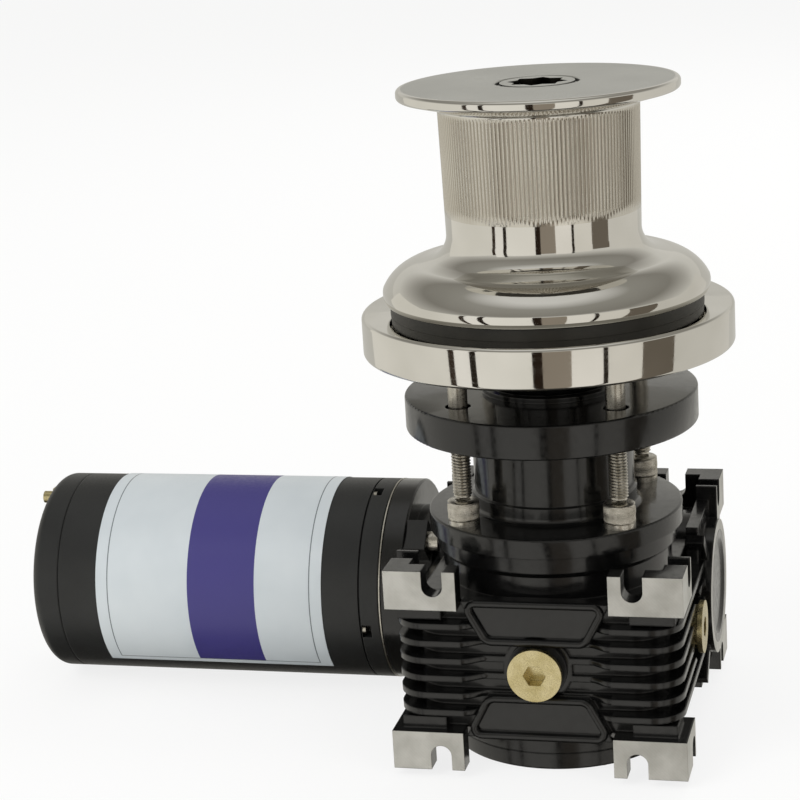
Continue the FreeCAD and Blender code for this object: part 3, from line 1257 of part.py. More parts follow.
def motor_shells():
    """Front bell, yoke tube and rear cap."""
    seat = "motor_bearing_rad + fit_gap"
    inside = "motor_rad - yoke_wall - fit_gap"
    pocket_end = "bell_front + bell_lip + motor_bearing_wide"
    bell = on_worm_axis(turned("BellBlank", [
        ("-yoke_front - bell_spigot", inside), ("-yoke_front", inside),
        ("-yoke_front", "motor_rad - joint_groove"), ("-yoke_front + joint_groove", "motor_rad"),
        ("-bell_front - joint_groove", "motor_rad"), ("-bell_front", "motor_rad - joint_groove"),
        ("-bell_front", "motor_bearing_bore + bell_lip"),
        ("-bell_front - bell_lip", "motor_bearing_bore + bell_lip"),
        ("-bell_front - bell_lip", seat), (f"-({pocket_end})", seat),
        (f"-({pocket_end})", "motor_bearing_rad + bell_lip"),
        ("-yoke_front - bell_spigot", "motor_bearing_rad + bell_lip")], upright=False))
    notch_low, notch_high = "(-yoke_front + notch_wall)", "(-yoke_front + notch_wall + notch_long)"
    notches = spokes("Notch", NOTCH_ANGLES, (notch_low, "motor_rad - notch_deep", "-notch_half"),
                     (notch_high, "motor_rad + 1", "notch_half"))
    screw_end, circle = "(-yoke_front - notch_screw_grip)", "motor_rad - yoke_wall / 2"
    shank = "notch_screw_rad + fit_gap"
    cut("motor_front_bell", bell, *notches,
        pegs("BellHoles", "lug_circle_rad", LUG_ANGLES,
             [("small_screw_rad + fit_gap", "-bell_front - bell_screw_grip - fit_gap",
               "1 - bell_front")]),
        pegs("BellNotchHoles", circle, NOTCH_ANGLES, [(shank, "-yoke_front - 1", notch_high)]))
    pegs("bell_screws", circle, NOTCH_ANGLES, [
        ("notch_screw_rad", screw_end, notch_low),
        ("yoke_wall / 2 - joint_groove / 2", notch_low, f"{notch_low} + notch_screw_rad")])
    tube = on_worm_axis(turned("YokeTube", [
        ("-yoke_rear", "motor_rad - yoke_wall"), ("-yoke_rear", "motor_rad"),
        ("-yoke_front", "motor_rad"), ("-yoke_front", "motor_rad - yoke_wall")], upright=False))
    cut("motor_yoke", tube, pegs("YokeHoles", circle, NOTCH_ANGLES,
                                 [(shank, f"{screw_end} - fit_gap", "1 - yoke_front")]))
    rear_seat = "yoke_rear - bell_spigot + motor_bearing_wide"
    cap = on_worm_axis(turned("RearBlank", [
        ("-motor_rear", "0"), ("-motor_rear", "motor_rad - rear_edge", "rear_edge", "left"),
        ("-motor_rear + rear_edge", "motor_rad"), ("-yoke_rear - joint_groove", "motor_rad"),
        ("-yoke_rear", "motor_rad - joint_groove"), ("-yoke_rear", inside),
        ("-yoke_rear + bell_spigot", inside),
        ("-yoke_rear + bell_spigot", f"{inside} - bell_spigot"),
        ("-yoke_rear", f"{inside} - bell_spigot"), ("-yoke_rear", "motor_bearing_rad + bell_lip"),
        ("-yoke_rear + bell_spigot", "motor_bearing_rad + bell_lip"),
        ("-yoke_rear + bell_spigot", seat), (f"-({rear_seat})", seat),
        (f"-({rear_seat})", "motor_bearing_bore + bell_lip"),
        (f"-({rear_seat}) - bell_lip", "motor_bearing_bore + bell_lip"),
        (f"-({rear_seat}) - bell_lip", "0")], upright=False))
    bores = []
    for step, (y, z) in enumerate(terminal_places()):
        bores.append(cylinder(f"TerminalBore{step + 1}", "terminal_rad + terminal_sleeve + fit_gap",
                              "motor_rear - yoke_rear + 2", "-motor_rear - 1", y, z, ALONG_X))
    cut("motor_rear_cap", cap, *bores)


def terminal_places():
    """Where the two terminals stand on their circle round the worm axis."""
    return [(f"centre_distance - terminal_circle_rad * cos({angle} deg)",
             f"gear_plane + terminal_circle_rad * sin({angle} deg)") for angle in TERMINAL_ANGLES]


def terminals():
    """Two insulated terminal studs with nuts on the rear cap."""
    studs, sleeves, nuts = [], [], []
    nut_face = "-motor_rear - terminal_sleeve - terminal_nut_high"
    for step, (y, z) in enumerate(terminal_places(), 1):
        stud = turned(f"TerminalStud{step}", [
            ("-yoke_rear", "0"), ("-motor_rear - terminal_proud", "0"),
            ("-motor_rear - terminal_proud", "terminal_tip_rad"),
            (nut_face, "terminal_tip_rad"), (nut_face, "terminal_rad"),
            ("-yoke_rear", "terminal_rad")], upright=False)
        studs.append(place(stud, y=y, z=z))
        sleeve = turned(f"TerminalSleeve{step}", [
            ("-motor_rear - terminal_sleeve", "terminal_rad + fit_gap"),
            ("-motor_rear - terminal_sleeve", "terminal_rad * 2"),
            ("-motor_rear", "terminal_rad * 2"),
            ("-motor_rear", "terminal_rad + terminal_sleeve"),
            ("-yoke_rear", "terminal_rad + terminal_sleeve"),
            ("-yoke_rear", "terminal_rad + fit_gap")], upright=False)
        sleeves.append(place(sleeve, y=y, z=z))
        nut = body(f"TerminalNut{step}")
        prism(nut, "YZ", hexagon("terminal_nut_width"), nut_face, "-motor_rear - terminal_sleeve")
        bore = cylinder(f"TerminalNutBore{step}", "terminal_rad + fit_gap", "terminal_nut_high + 2",
                        f"{nut_face} - 1", y, z, ALONG_X)
        nuts.append(cut(f"TerminalNutCut{step}", place(nut, y=y, z=z), bore))
    group("terminal_studs", studs)
    group("terminal_sleeves", sleeves)
    group("terminal_nuts", nuts)


def motor_inside():
    """Magnets, brush gear, armature and its bearings."""
    middle = "-armature_middle"
    magnets = body("motor_magnets")
    low, high = f"{middle} - magnet_half_long", f"{middle} + magnet_half_long"
    arc = spun(magnets, [(low, "magnet_rad - magnet_thick"), (high, "magnet_rad - magnet_thick"),
                         (high, "magnet_rad - fit_gap"), (low, "magnet_rad - fit_gap")], upright=False)
    tie(arc, "Angle", "magnet_span")
    ring_of("Magnets", magnets, int(number("magnet_count")), upright=False)
    on_worm_axis(place(magnets, turn=Rotation(Vector(1, 0, 0), 45 - number("magnet_span") / 2)))
    low, high = f"{middle} - armature_half_long", f"{middle} + armature_half_long"
    core = on_worm_axis(turned("CoreBlank", [
        (low, "rotor_shaft_rad + fit_gap"), (high, "rotor_shaft_rad + fit_gap"),
        (high, "armature_rad"), (low, "armature_rad")], upright=False))
    slots_cut = body("CoreSlots")
    prism(slots_cut, "YZ", [("armature_rad - slot_in", "-slot_half"), ("armature_rad + 1", "-slot_half"),
                            ("armature_rad + 1", "slot_half"), ("armature_rad - slot_in", "slot_half")],
          f"{low} - 1", f"{high} + 1")
    ring_of("CoreSlots", slots_cut, int(number("slot_count")), upright=False)
    cut("armature_core", core, on_worm_axis(slots_cut))
    coils = []
    for name, start, end in (("RearCoil", f"{low} - winding_bulge", low),
                             ("FrontCoil", high, f"{high} + winding_bulge")):
        coils.append(on_worm_axis(turned(name, [
            (start, "rotor_shaft_rad + fit_gap"), (end, "rotor_shaft_rad + fit_gap"),
            (end, "armature_rad - air_gap * 2"), (start, "armature_rad - air_gap * 4")], upright=False)))
    group("armature_windings", coils)
    rear = f"{low} - winding_bulge"
    on_worm_axis(turned("commutator", [
        (f"{rear} - commutator_long", "rotor_shaft_rad + fit_gap"), (rear, "rotor_shaft_rad + fit_gap"),
        (rear, "commutator_rad"), (f"{rear} - commutator_long", "commutator_rad")], upright=False))
    rear_seat = "yoke_rear - bell_spigot"
    bearing_rear = f"-({rear_seat} + motor_bearing_wide / 2)"
    bearing_front = "-(bell_front + bell_lip + motor_bearing_wide / 2)"
    bearing("motor_bearing", "motor_bearing_bore", "motor_bearing_rad", "motor_bearing_wide",
            [(bearing_front, "centre_distance", "gear_plane"),
             (bearing_rear, "centre_distance", "gear_plane")], ALONG_X)
    tip = "worm_bore_deep - worm_shaft_end - face_gap"
    shaft = on_worm_axis(turned("RotorShaftBlank", [
        (f"-({rear_seat} + motor_bearing_wide)", "0"),
        (f"-({rear_seat} + motor_bearing_wide)", "motor_bearing_bore"),
        (f"-({rear_seat})", "motor_bearing_bore"), (f"-({rear_seat})", "rotor_shaft_rad"),
        ("-bell_front - bell_lip - motor_bearing_wide", "rotor_shaft_rad"),
        ("-bell_front - bell_lip - motor_bearing_wide", "motor_bearing_bore"),
        ("-bell_front - bell_lip", "motor_bearing_bore"),
        ("-bell_front - bell_lip", "motor_shaft_rad"), (tip, "motor_shaft_rad"), (tip, "0")],
        upright=False))
    key_low = f"{tip} - face_gap - motor_key_long"
    key_base = "motor_key_top - motor_key_high"
    keyed("armature_shaft", shaft, "(motor_key_width / 2 + fit_gap)",
          (f"{key_base} - fit_gap", "motor_rad"), f"{key_low} - fit_gap", f"{tip} + 1", along_x=True)
    box("armature_key", (key_low, "centre_distance - motor_key_width / 2", f"gear_plane + {key_base}"),
        (f"{tip} - face_gap", "centre_distance + motor_key_width / 2", "gear_plane + motor_key_top"))
    brush_middle = f"{rear} - commutator_long / 2"
    holder_face = "-yoke_rear + bell_spigot"
    plate = on_worm_axis(turned("HolderPlate", [
        (holder_face, "commutator_rad + brush_long / 2"), (holder_face, "magnet_rad - fit_gap"),
        (f"{holder_face} + holder_thick", "magnet_rad - fit_gap"),
        (f"{holder_face} + holder_thick", "commutator_rad + brush_long / 2")], upright=False))
    half = "brush_wide / 2"
    boxes = spokes("BrushBox", QUARTER_ANGLES,
                   (holder_face, "commutator_rad + brush_long / 2", f"-{half} - holder_thick / 2"),
                   (f"{brush_middle} + {half} + holder_thick / 2", "magnet_rad - holder_thick / 2",
                    f"{half} + holder_thick / 2"))
    rooms = spokes("BrushRoom", QUARTER_ANGLES,
                   (f"{brush_middle} - {half} - fit_gap", "commutator_rad", f"-{half} - fit_gap"),
                   (f"{brush_middle} + {half} + fit_gap", "magnet_rad - holder_thick",
                    f"{half} + fit_gap"))
    brushes = spokes("Brush", QUARTER_ANGLES,
                     (f"{brush_middle} - {half}", "commutator_rad + run_gap", f"-{half}"),
                     (f"{brush_middle} + {half}", "commutator_rad + run_gap + brush_long", half))
    cut("brush_holder", fuse("HolderSolid", plate, *boxes), *rooms)
    group("brushes", brushes)


def motor_label():
    """Wrap-round label on the yoke."""
    new = body("motor_label")
    low, high = "motor_rad + fit_gap", "motor_rad + fit_gap + label_thick"
    sheet_arc = spun(new, [("-label_rear", low), ("-label_front", low),
                           ("-label_front", high), ("-label_rear", high)], upright=False)
    tie(sheet_arc, "Angle", "label_span")
    start = 180 + number("label_low_angle") - number("label_span")
    on_worm_axis(place(new, turn=Rotation(Vector(1, 0, 0), start)))


NODES = [
    "drum", "drum_key", "drum_cap", "main_shaft", "wheel_hub", "wheel_key", "worm_wheel",
    "deck_plate", "deck_bush", "skirt_ring", "deck_studs",
    "riser_housing", "riser_seal", "riser_bearing_outer_rings", "riser_bearing_inner_rings",
    "riser_bearing_balls", "riser_screws", "riser_spring_washers",
    "gearbox_housing", "gearbox_cover", "cover_screws", "shaft_cover", "wheel_seals",
    "wheel_bearing_outer_rings", "wheel_bearing_inner_rings", "wheel_bearing_balls",
    "worm_shaft", "worm_seal", "worm_end_cap", "worm_bearing_outer_rings",
    "worm_bearing_inner_rings", "worm_bearing_balls", "oil_plugs", "plug_washers",
    "motor_adapter", "adapter_screws", "flange_screws", "motor_front_bell", "bell_screws",
    "motor_yoke", "motor_rear_cap", "motor_magnets", "motor_label", "brush_holder", "brushes",
    "terminal_studs", "terminal_sleeves", "terminal_nuts", "armature_shaft", "armature_key",
    "armature_core", "armature_windings", "commutator", "motor_bearing_outer_rings",
    "motor_bearing_inner_rings", "motor_bearing_balls",
]


def build():
    """Make every piece, check it and write its file."""
    for make in (drum, drum_cap, deck_plate, deck_pieces, riser, riser_pieces, gearbox_housing,
                 gearbox_pieces, oil_plugs, worm_wheel, worm_shaft, shaft_pieces, motor_adapter,
                 motor_shells, terminals, motor_inside, motor_label):
        make()
    document.recompute()
    for item in document.Objects:
        if "Invalid" in item.State or "Error" in item.State:
            raise RuntimeError(f"{item.Label} is {item.State}")
    os.makedirs("parts", exist_ok=True)
    by_label = {item.Label: item for item in document.Objects}
    for node in NODES:
        shape = by_label[node].Shape
        if shape.isNull() or not shape.isValid() or not shape.Solids:
            raise RuntimeError(f"{node} has no valid solid")
        shape.exportStep(f"parts/{node}.step")
        print(f"{node}: {len(shape.Solids)} solids, {shape.Volume:.0f} mm3")


build()
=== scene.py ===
"""Dresses the deck capstan: polished drum and plate, enamelled riser and gearbox, coated motor.

Profiles are written in millimetres, and everything that reaches the scene is in metres.
"""
import json
import math

import bmesh
import bpy
import numpy as np
from bpy.props import FloatProperty, FloatVectorProperty, IntProperty, PointerProperty
from mathutils import Matrix, Vector

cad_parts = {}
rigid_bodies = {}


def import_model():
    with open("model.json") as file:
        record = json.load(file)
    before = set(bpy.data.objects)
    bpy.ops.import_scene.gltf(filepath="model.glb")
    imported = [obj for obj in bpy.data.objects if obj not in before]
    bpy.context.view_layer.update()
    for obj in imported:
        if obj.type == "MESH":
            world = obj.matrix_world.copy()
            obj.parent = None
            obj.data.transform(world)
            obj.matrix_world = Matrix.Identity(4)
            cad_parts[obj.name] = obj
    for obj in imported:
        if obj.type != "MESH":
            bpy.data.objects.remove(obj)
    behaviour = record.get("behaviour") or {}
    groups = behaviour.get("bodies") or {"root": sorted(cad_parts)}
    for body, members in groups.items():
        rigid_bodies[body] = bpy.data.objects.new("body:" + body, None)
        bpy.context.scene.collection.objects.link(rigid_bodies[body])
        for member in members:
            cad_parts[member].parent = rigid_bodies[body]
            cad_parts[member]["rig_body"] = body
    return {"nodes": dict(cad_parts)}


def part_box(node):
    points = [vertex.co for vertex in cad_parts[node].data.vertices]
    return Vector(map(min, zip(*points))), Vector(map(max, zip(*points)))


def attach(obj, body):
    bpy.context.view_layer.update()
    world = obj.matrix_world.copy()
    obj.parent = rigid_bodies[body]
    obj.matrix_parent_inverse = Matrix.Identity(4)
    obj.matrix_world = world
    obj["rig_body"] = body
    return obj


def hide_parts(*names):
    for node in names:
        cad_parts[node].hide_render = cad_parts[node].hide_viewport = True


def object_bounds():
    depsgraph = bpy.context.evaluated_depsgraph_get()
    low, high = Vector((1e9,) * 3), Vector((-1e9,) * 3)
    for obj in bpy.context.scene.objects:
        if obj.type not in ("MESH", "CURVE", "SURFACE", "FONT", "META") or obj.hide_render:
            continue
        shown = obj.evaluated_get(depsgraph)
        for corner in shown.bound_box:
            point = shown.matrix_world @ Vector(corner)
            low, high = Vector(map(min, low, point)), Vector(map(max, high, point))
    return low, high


bl_info = {
    "name": "Deck Capstan",
    "version": (1, 0, 0),
    "blender": (4, 5, 0),
    "location": "View3D > Sidebar > Capstan",
    "description": "Builds the finished surfaces and materials of a deck capstan",
    "category": "Add Mesh",
}

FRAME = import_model()
CAD_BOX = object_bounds()
MM = 0.001

GEAR_PLANE = -121.0  # height of the worm's axis, in millimetres
MOTOR_LINE = (0.0, 0.05, -0.121)  # a point on the worm's and the motor's axis, in metres
RIB_FOOT, RIB_TOP = 56.0, 98.0  # heights between which the barrel is ribbed, in millimetres
RIB_RADIUS, RIB_FLARE = 39.45, 0.85  # crest radius at the foot, and how much it grows by the top
CARD_DISTANCE = 2.2  # from the capstan to the cards that polished metal mirrors, in metres
NOISE_SPAN = (0.35, 0.65)  # most of a noise's values lie between these
WAVE_SPAN = (0.0, 1.0)
ROUND_Z = (0.2, 0.2, 1.0)  # draws a noise out along the turning direction


# ---------------------------------------------------------------- colours and nodes
def linear(hex_colour):
    """sRGB hex text to linear red, green, blue and alpha."""
    parts = [int(hex_colour[i:i + 2], 16) / 255 for i in (1, 3, 5)]
    return tuple(p / 12.92 if p <= 0.04045 else ((p + 0.055) / 1.055) ** 2.4
                 for p in parts) + (1.0,)


def add(tree, kind, inputs=None, **settings):
    """Add one node: settings are its own choices, inputs are {socket: output or value}."""
    new = tree.nodes.new(kind)
    for key, value in settings.items():
        setattr(new, key, value)
    for key, value in (inputs or {}).items():
        if isinstance(value, bpy.types.NodeSocket):
            tree.links.new(value, new.inputs[key])
        else:
            new.inputs[key].default_value = value
    return new


def cleared(owner):
    """Switch on the nodes of a new material or world, and empty its tree."""
    owner.use_nodes = True
    owner.node_tree.nodes.clear()
    return owner.node_tree


# ---------------------------------------------------------------- finishes
def surfaced(name, tones, broad, fine, rough, bump, span=NOISE_SPAN, bevel=0.0, stretch=None,
             kind="ShaderNodeTexNoise", sockets=None, raised="fine", **settings):
    """A finish. A broad noise, given by scale and detail, mixes two tones. A fine texture,
    given by its sockets, varies the roughness between two values and raises the surface by
    bump's strength and distance. A bevel radius in metres softens the edges it falls on."""
    made = bpy.data.materials.new(name)
    tree = cleared(made)
    shader = add(tree, "ShaderNodeBsdfPrincipled", sockets)
    add(tree, "ShaderNodeOutputMaterial", {"Surface": shader.outputs[0]})
    place = add(tree, "ShaderNodeTexCoord").outputs["Object"]
    cloud = add(tree, "ShaderNodeTexNoise",
                {"Vector": place, "Scale": broad[0], "Detail": broad[1]}).outputs["Fac"]
    share = add(tree, "ShaderNodeMapRange",
                {"Value": cloud, "From Min": NOISE_SPAN[0], "From Max": NOISE_SPAN[1]})
    tone = add(tree, "ShaderNodeMix", {0: share.outputs[0], 6: linear(tones[0]),
                                       7: linear(tones[1])}, data_type="RGBA").outputs[2]
    tree.links.new(tone, shader.inputs["Base Color"])
    if stretch:
        place = add(tree, "ShaderNodeMapping", {"Vector": place, "Scale": stretch}).outputs[0]
    marks = add(tree, kind, {"Vector": place, **fine}, **settings).outputs["Fac"]
    if rough:
        varied = add(tree, "ShaderNodeMapRange", {
            "Value": marks, "From Min": span[0], "From Max": span[1],
            "To Min": rough[0], "To Max": rough[1]})
        tree.links.new(varied.outputs[0], shader.inputs["Roughness"])
    relief = {"Height": cloud if raised == "broad" else marks,
              "Strength": bump[0], "Distance": bump[1]}
    if bevel:
        relief["Normal"] = add(tree, "ShaderNodeBevel", {"Radius": bevel}, samples=6).outputs[0]
    tree.links.new(add(tree, "ShaderNodeBump", relief).outputs[0], shader.inputs["Normal"])
    return made, tree, shader, share.outputs[0], tone


def polished_stainless():
    """Cast stainless steel, ground and buffed to a mirror: a warm grey whose reflections wave
    slightly. The buffing marks are 1 mm apart, coarser than real ones, so that they show."""
    return surfaced("polished_stainless", ("#DFDDD8", "#D3D1CB"), (28.0, 2.0),
                    {"Scale": 900.0, "Detail": 2.0}, (0.03, 0.07), (0.16, 0.0005),
                    stretch=ROUND_Z, raised="broad", sockets={"Metallic": 1.0})[0]


def ribbed_stainless():
    """The same casting as machined, between its ribs: duller in the grooves, and darker and
    browner there, which is painted shade. The groove attribute is 0 on a crest and 1 in a groove."""
    made, tree, shader, share, crest = surfaced(
        "ribbed_stainless", ("#DAD7CF", "#C9C5BC"), (60.0, 4.0),
        {"Scale": 1500.0, "Detail": 2.0}, None, (0.04, 0.00005), sockets={"Metallic": 1.0})
    deep = add(tree, "ShaderNodeAttribute", attribute_name="groove").outputs["Fac"]
    # painted shade: the darker, browner tones of the grooves
    floor = add(tree, "ShaderNodeMix", {0: share, 6: linear("#A59E90"), 7: linear("#B3AC9F")},
                data_type="RGBA").outputs[2]
    both = add(tree, "ShaderNodeMix", {0: deep, 6: crest, 7: floor}, data_type="RGBA")
    dull = add(tree, "ShaderNodeMapRange", {"Value": deep, "To Min": 0.17, "To Max": 0.3})
    tree.links.new(both.outputs[2], shader.inputs["Base Color"])
    tree.links.new(dull.outputs[0], shader.inputs["Roughness"])
    return made


def satin_top():
    """Stainless of the drum's top, faced on a lathe: a soft, even sheen. The turning marks are
    rings half a millimetre apart."""
    return surfaced("satin_stainless_top", ("#C3C4C1", "#B8B9B6"), (35.0, 3.0),
                    {"Scale": 640.0, "Distortion": 0.6}, (0.26, 0.33), (0.05, 0.00005), WAVE_SPAN,
                    kind="ShaderNodeTexWave", wave_type="RINGS", rings_direction="Z",
                    sockets={"Metallic": 1.0})[0]


def turned_steel(name="turned_stainless", tones=("#D0CCC3", "#B8B4AA"), rough=0.3):
    """Turned steel, as fasteners and shafts are: light grey, scored every 0.4 mm."""
    return surfaced(name, tones, (240.0, 3.0), {"Scale": 2500.0, "Detail": 2.0},
                    (rough - 0.06, rough + 0.1), (0.1, 0.00004), stretch=ROUND_Z,
                    sockets={"Metallic": 1.0})[0]


def machined_face():
    """Milled aluminium of the feet: bright and dull, with parallel cutter marks. They are drawn
    1.5 mm apart, coarser than real ones, so that they show."""
    return surfaced("milled_aluminium", ("#DCDCD9", "#C4C4C0"), (90.0, 4.0),
                    {"Scale": 420.0, "Distortion": 1.5, "Detail": 2.0}, (0.36, 0.5),
                    (0.12, 0.00005), WAVE_SPAN, 0.0004, kind="ShaderNodeTexWave",
                    bands_direction="DIAGONAL", sockets={"Metallic": 1.0})[0]


def enamel(name, tones, rough, coat, grain, bump, bevel=0.0006):
    """Black enamel sprayed over cast or drawn metal: a slight orange peel, whose size in
    metres is one over the grain."""
    return surfaced(name, tones, (30.0, 4.0), {"Scale": grain, "Detail": 2.0},
                    (rough - 0.04, rough + 0.06), (bump, 0.0002), bevel=bevel,
                    sockets={"Coat Weight": coat, "Coat Roughness": 0.06})[0]


def moulded(name, tones, rough):
    """Moulded plastic or rubber, or pressed powder: dull, with a grain of half a millimetre."""
    return surfaced(name, tones, (120.0, 4.0), {"Scale": 1800.0, "Detail": 2.0},
                    (rough - 0.05, rough + 0.08), (0.2, 0.00008), bevel=0.0003)[0]


def coloured_metal(name, tones, rough):
    """Bronze, plated or copper pieces: a soft sheen, slightly uneven every 0.6 mm."""
    return surfaced(name, tones, (160.0, 4.0), {"Scale": 1700.0, "Detail": 3.0},
                    (rough - 0.05, rough + 0.1), (0.03, 0.00003), bevel=0.0003,
                    sockets={"Metallic": 1.0})[0]


def printed_film():
    """Printed vinyl film: a pale blue-grey ground, one violet band and a thin border line. The
    film's own UV map gives metres along the motor (u) and round it (v). Each printed strip is a
    rectangle: 1 where u and v are both between its limits, and 0 elsewhere."""
    made, tree, shader, _, ground = surfaced(
        "printed_vinyl", ("#CDD3D6", "#C3CACE"), (25.0, 3.0), {"Scale": 700.0, "Detail": 2.0},
        (0.34, 0.46), (0.06, 0.0001), sockets={"Coat Weight": 0.1, "Coat Roughness": 0.25})
    sizes = bpy.context.scene.capstan_motor
    uv = add(tree, "ShaderNodeUVMap", uv_map="film").outputs[0]
    split = add(tree, "ShaderNodeSeparateXYZ", {"Vector": uv})

    def strip(*limits):
        """The product of four comparisons: u and v above their low and below their high."""
        whole = 1.0
        for axis, (low, high) in enumerate(limits):
            for limit, test in ((low, "GREATER_THAN"), (high, "LESS_THAN")):
                passed = add(tree, "ShaderNodeMath", {0: split.outputs[axis], 1: limit},
                             operation=test).outputs[0]
                whole = add(tree, "ShaderNodeMath", {0: whole, 1: passed},
                            operation="MULTIPLY").outputs[0]
        return whole

    line, end_gap, side_gap = 0.0005, 0.0052, 0.0028
    far_end, far_side = sizes.film_long - end_gap, sizes.film_round - side_gap
    across, along = (side_gap, far_side), (end_gap, far_end)
    printed = [
        ("#3A3478", strip((sizes.band_start, sizes.band_start + sizes.band_wide), across)),
        ("#6E7478", strip((end_gap, end_gap + line), across)),
        ("#6E7478", strip((far_end - line, far_end), across)),
        ("#6E7478", strip(along, (side_gap, side_gap + line))),
        ("#6E7478", strip(along, (far_side - line, far_side)))]
    tone = ground
    for ink, share in printed:
        tone = add(tree, "ShaderNodeMix", {0: share, 6: tone, 7: linear(ink)},
                   data_type="RGBA").outputs[2]
    tree.links.new(tone, shader.inputs["Base Color"])
    return made


MAKERS = {
    "polished": polished_stainless,
    "ribbed": ribbed_stainless,
    "top": satin_top,
    "turned": turned_steel,
    "milled": machined_face,
    "film": printed_film,
    # ground and hardened steels: darker or brighter than the fasteners, and smoother
    "ground": lambda: turned_steel("ground_steel", ("#8F8E8A", "#7C7B77"), 0.24),
    "bearing": lambda: turned_steel("bearing_steel", ("#C3C3C0", "#B4B4B1"), 0.16),
    # the inside of the cap's socket: steel darkened as painted shade
    "bore": lambda: turned_steel("socket_painted_shade", ("#3B3833", "#2B2925"), 0.34),
    # coatings: deep gloss on the riser, wavier over the rough casting, matt on the motor
    "riser": lambda: enamel("gloss_black_enamel", ("#0B0B0B", "#121211"),
                            0.16, 0.15, 420.0, 0.05),
    "gearbox": lambda: enamel("black_enamel_on_casting", ("#090909", "#101010"),
                              0.2, 0.15, 300.0, 0.12, 0.0011),
    "motor": lambda: enamel("satin_black_coating", ("#1B1C1C", "#222323"),
                            0.42, 0.0, 1500.0, 0.1),
    "iron": lambda: enamel("oiled_cast_iron", ("#3C3C3A", "#4A4947"), 0.4, 0.0, 500.0, 0.3),
    # plastics, rubber and sintered powders: near black and dull
    "plastic": lambda: moulded("black_nylon", ("#121212", "#1A1A1A"), 0.38),
    "rubber": lambda: moulded("nitrile_rubber", ("#181817", "#222221"), 0.6),
    "skirt": lambda: moulded("black_acetal_ring", ("#15140F", "#1F1D17"), 0.42),
    "magnet": lambda: moulded("sintered_ferrite", ("#333436", "#424345"), 0.55),
    "carbon": lambda: moulded("pressed_carbon", ("#232326", "#2D2D31"), 0.5),
    # coloured metals: pale yellow plate, brown bronze, red copper
    "plated": lambda: coloured_metal("yellow_zinc_plate", ("#D8CBA0", "#C2B483"), 0.26),
    "bronze": lambda: coloured_metal("tin_bronze", ("#B08D4C", "#9C7A3E"), 0.3),
    "copper": lambda: coloured_metal("enamelled_copper", ("#A8602F", "#8F4D24"), 0.34),
}
FINISHES = {}


def finish(name):
    """Each finish is made once, when a piece first asks for it."""
    if name not in FINISHES:
        FINISHES[name] = MAKERS[name]()
    return FINISHES[name]


# ---------------------------------------------------------------- surfaces
def lattice(name, points, loop=True, closed_rows=False):
    """A skin over a grid of points: rows go along the profile and columns round it. With loop,
    the last column joins the first, and with closed_rows the last row joins the first."""
    rows, columns = points.shape[:2]
    index = np.arange(rows * columns).reshape(rows, columns)
    low = index if closed_rows else index[:-1]
    high = np.roll(index, -1, axis=0) if closed_rows else index[1:]
    if loop:
        corners = (low, np.roll(low, -1, axis=1), np.roll(high, -1, axis=1), high)
    else:
        corners = (low[:, :-1], low[:, 1:], high[:, 1:], high[:, :-1])
    faces = np.stack(corners, axis=-1).reshape(-1, 4)
    mesh = bpy.data.meshes.new(name)
    mesh.from_pydata(points.reshape(-1, 3).tolist(), [], faces.tolist())
    mesh.update()
    return mesh


def close_up(mesh, angle=35.0, outwards=True):
    """Merge doubled points, which closes poles and seams, face the skin outwards and keep only
    corners over the angle sharp. A skin whose profile already runs the right way isn't turned."""
    work = bmesh.new()
    work.from_mesh(mesh)
    bmesh.ops.remove_doubles(work, verts=work.verts, dist=2e-7)
    bmesh.ops.dissolve_degenerate(work, edges=work.edges, dist=1e-8)
    if outwards:
        bmesh.ops.recalc_face_normals(work, faces=work.faces)
    work.to_mesh(mesh)
    work.free()
    mesh.shade_smooth()
    mesh.set_sharp_from_angle(angle=math.radians(angle))
    return mesh


def piece(name, mesh, body, look, stands_for=()):
    """Put a mesh in the scene, at the origin, on its body and in its finish."""
    new = bpy.data.objects.new(name, mesh)
    bpy.context.scene.collection.objects.link(new)
    for each in (look if isinstance(look, (list, tuple)) else [look]):
        new.data.materials.append(finish(each))
    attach(new, body)
    if stands_for:
        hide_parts(*stands_for)
    return new


def joined(name, meshes):
    """Several meshes as one."""
    work = bmesh.new()
    for each in meshes:
        work.from_mesh(each)
        bpy.data.meshes.remove(each)
    mesh = bpy.data.meshes.new(name)
    work.to_mesh(mesh)
    work.free()
    return mesh


def moved(mesh, matrix):
    """The same mesh, put in another place."""
    mesh.transform(matrix)
    return mesh


def rounded(points, steps=8):
    """A profile in millimetres as an array: a point with a third number gets its corner
    rounded by that radius. Along each arc the angle grows evenly from one leg to the other."""
    count = len(points)
    line = []
    for index, point in enumerate(points):
        here = np.array(point[:2], float)
        if len(point) == 2:
            line.append(here[None])
            continue
        before = np.array(points[index - 1][:2], float) - here
        after = np.array(points[(index + 1) % count][:2], float) - here
        a, b = before / np.linalg.norm(before), after / np.linalg.norm(after)
        half = math.acos(np.clip(a @ b, -1, 1)) / 2
        reach = point[2] / math.tan(half)
        middle = here + (a + b) / np.linalg.norm(a + b) * point[2] / math.sin(half)
        start, end = here + a * reach - middle, here + b * reach - middle
        turn = math.pi - 2 * half
        share = np.linspace(0, 1, steps + 1)[:, None]
        line.append(middle + (np.sin((1 - share) * turn) * start
                              + np.sin(share * turn) * end) / math.sin(turn))
    return np.concatenate(line)


def arc(start, end, radius, bulge, steps):
    """Points on a circle's arc between two profile points, leaving the end out; bulge is
    +1 or -1 for the side it bows to. The angle grows evenly from the start to the end."""
    start, end = np.array(start, float), np.array(end, float)
    chord = end - start
    length = np.linalg.norm(chord)
    across = np.array([-chord[1], chord[0]]) / length * bulge
    middle = (start + end) / 2 - across * math.sqrt(radius ** 2 - length ** 2 / 4)
    first, last = start - middle, end - middle
    turn = math.acos(np.clip(first @ last / radius ** 2, -1, 1))
    share = np.linspace(0, 1, steps + 1)[:-1, None]
    return middle + (np.sin((1 - share) * turn) * first
                     + np.sin(share * turn) * last) / math.sin(turn)


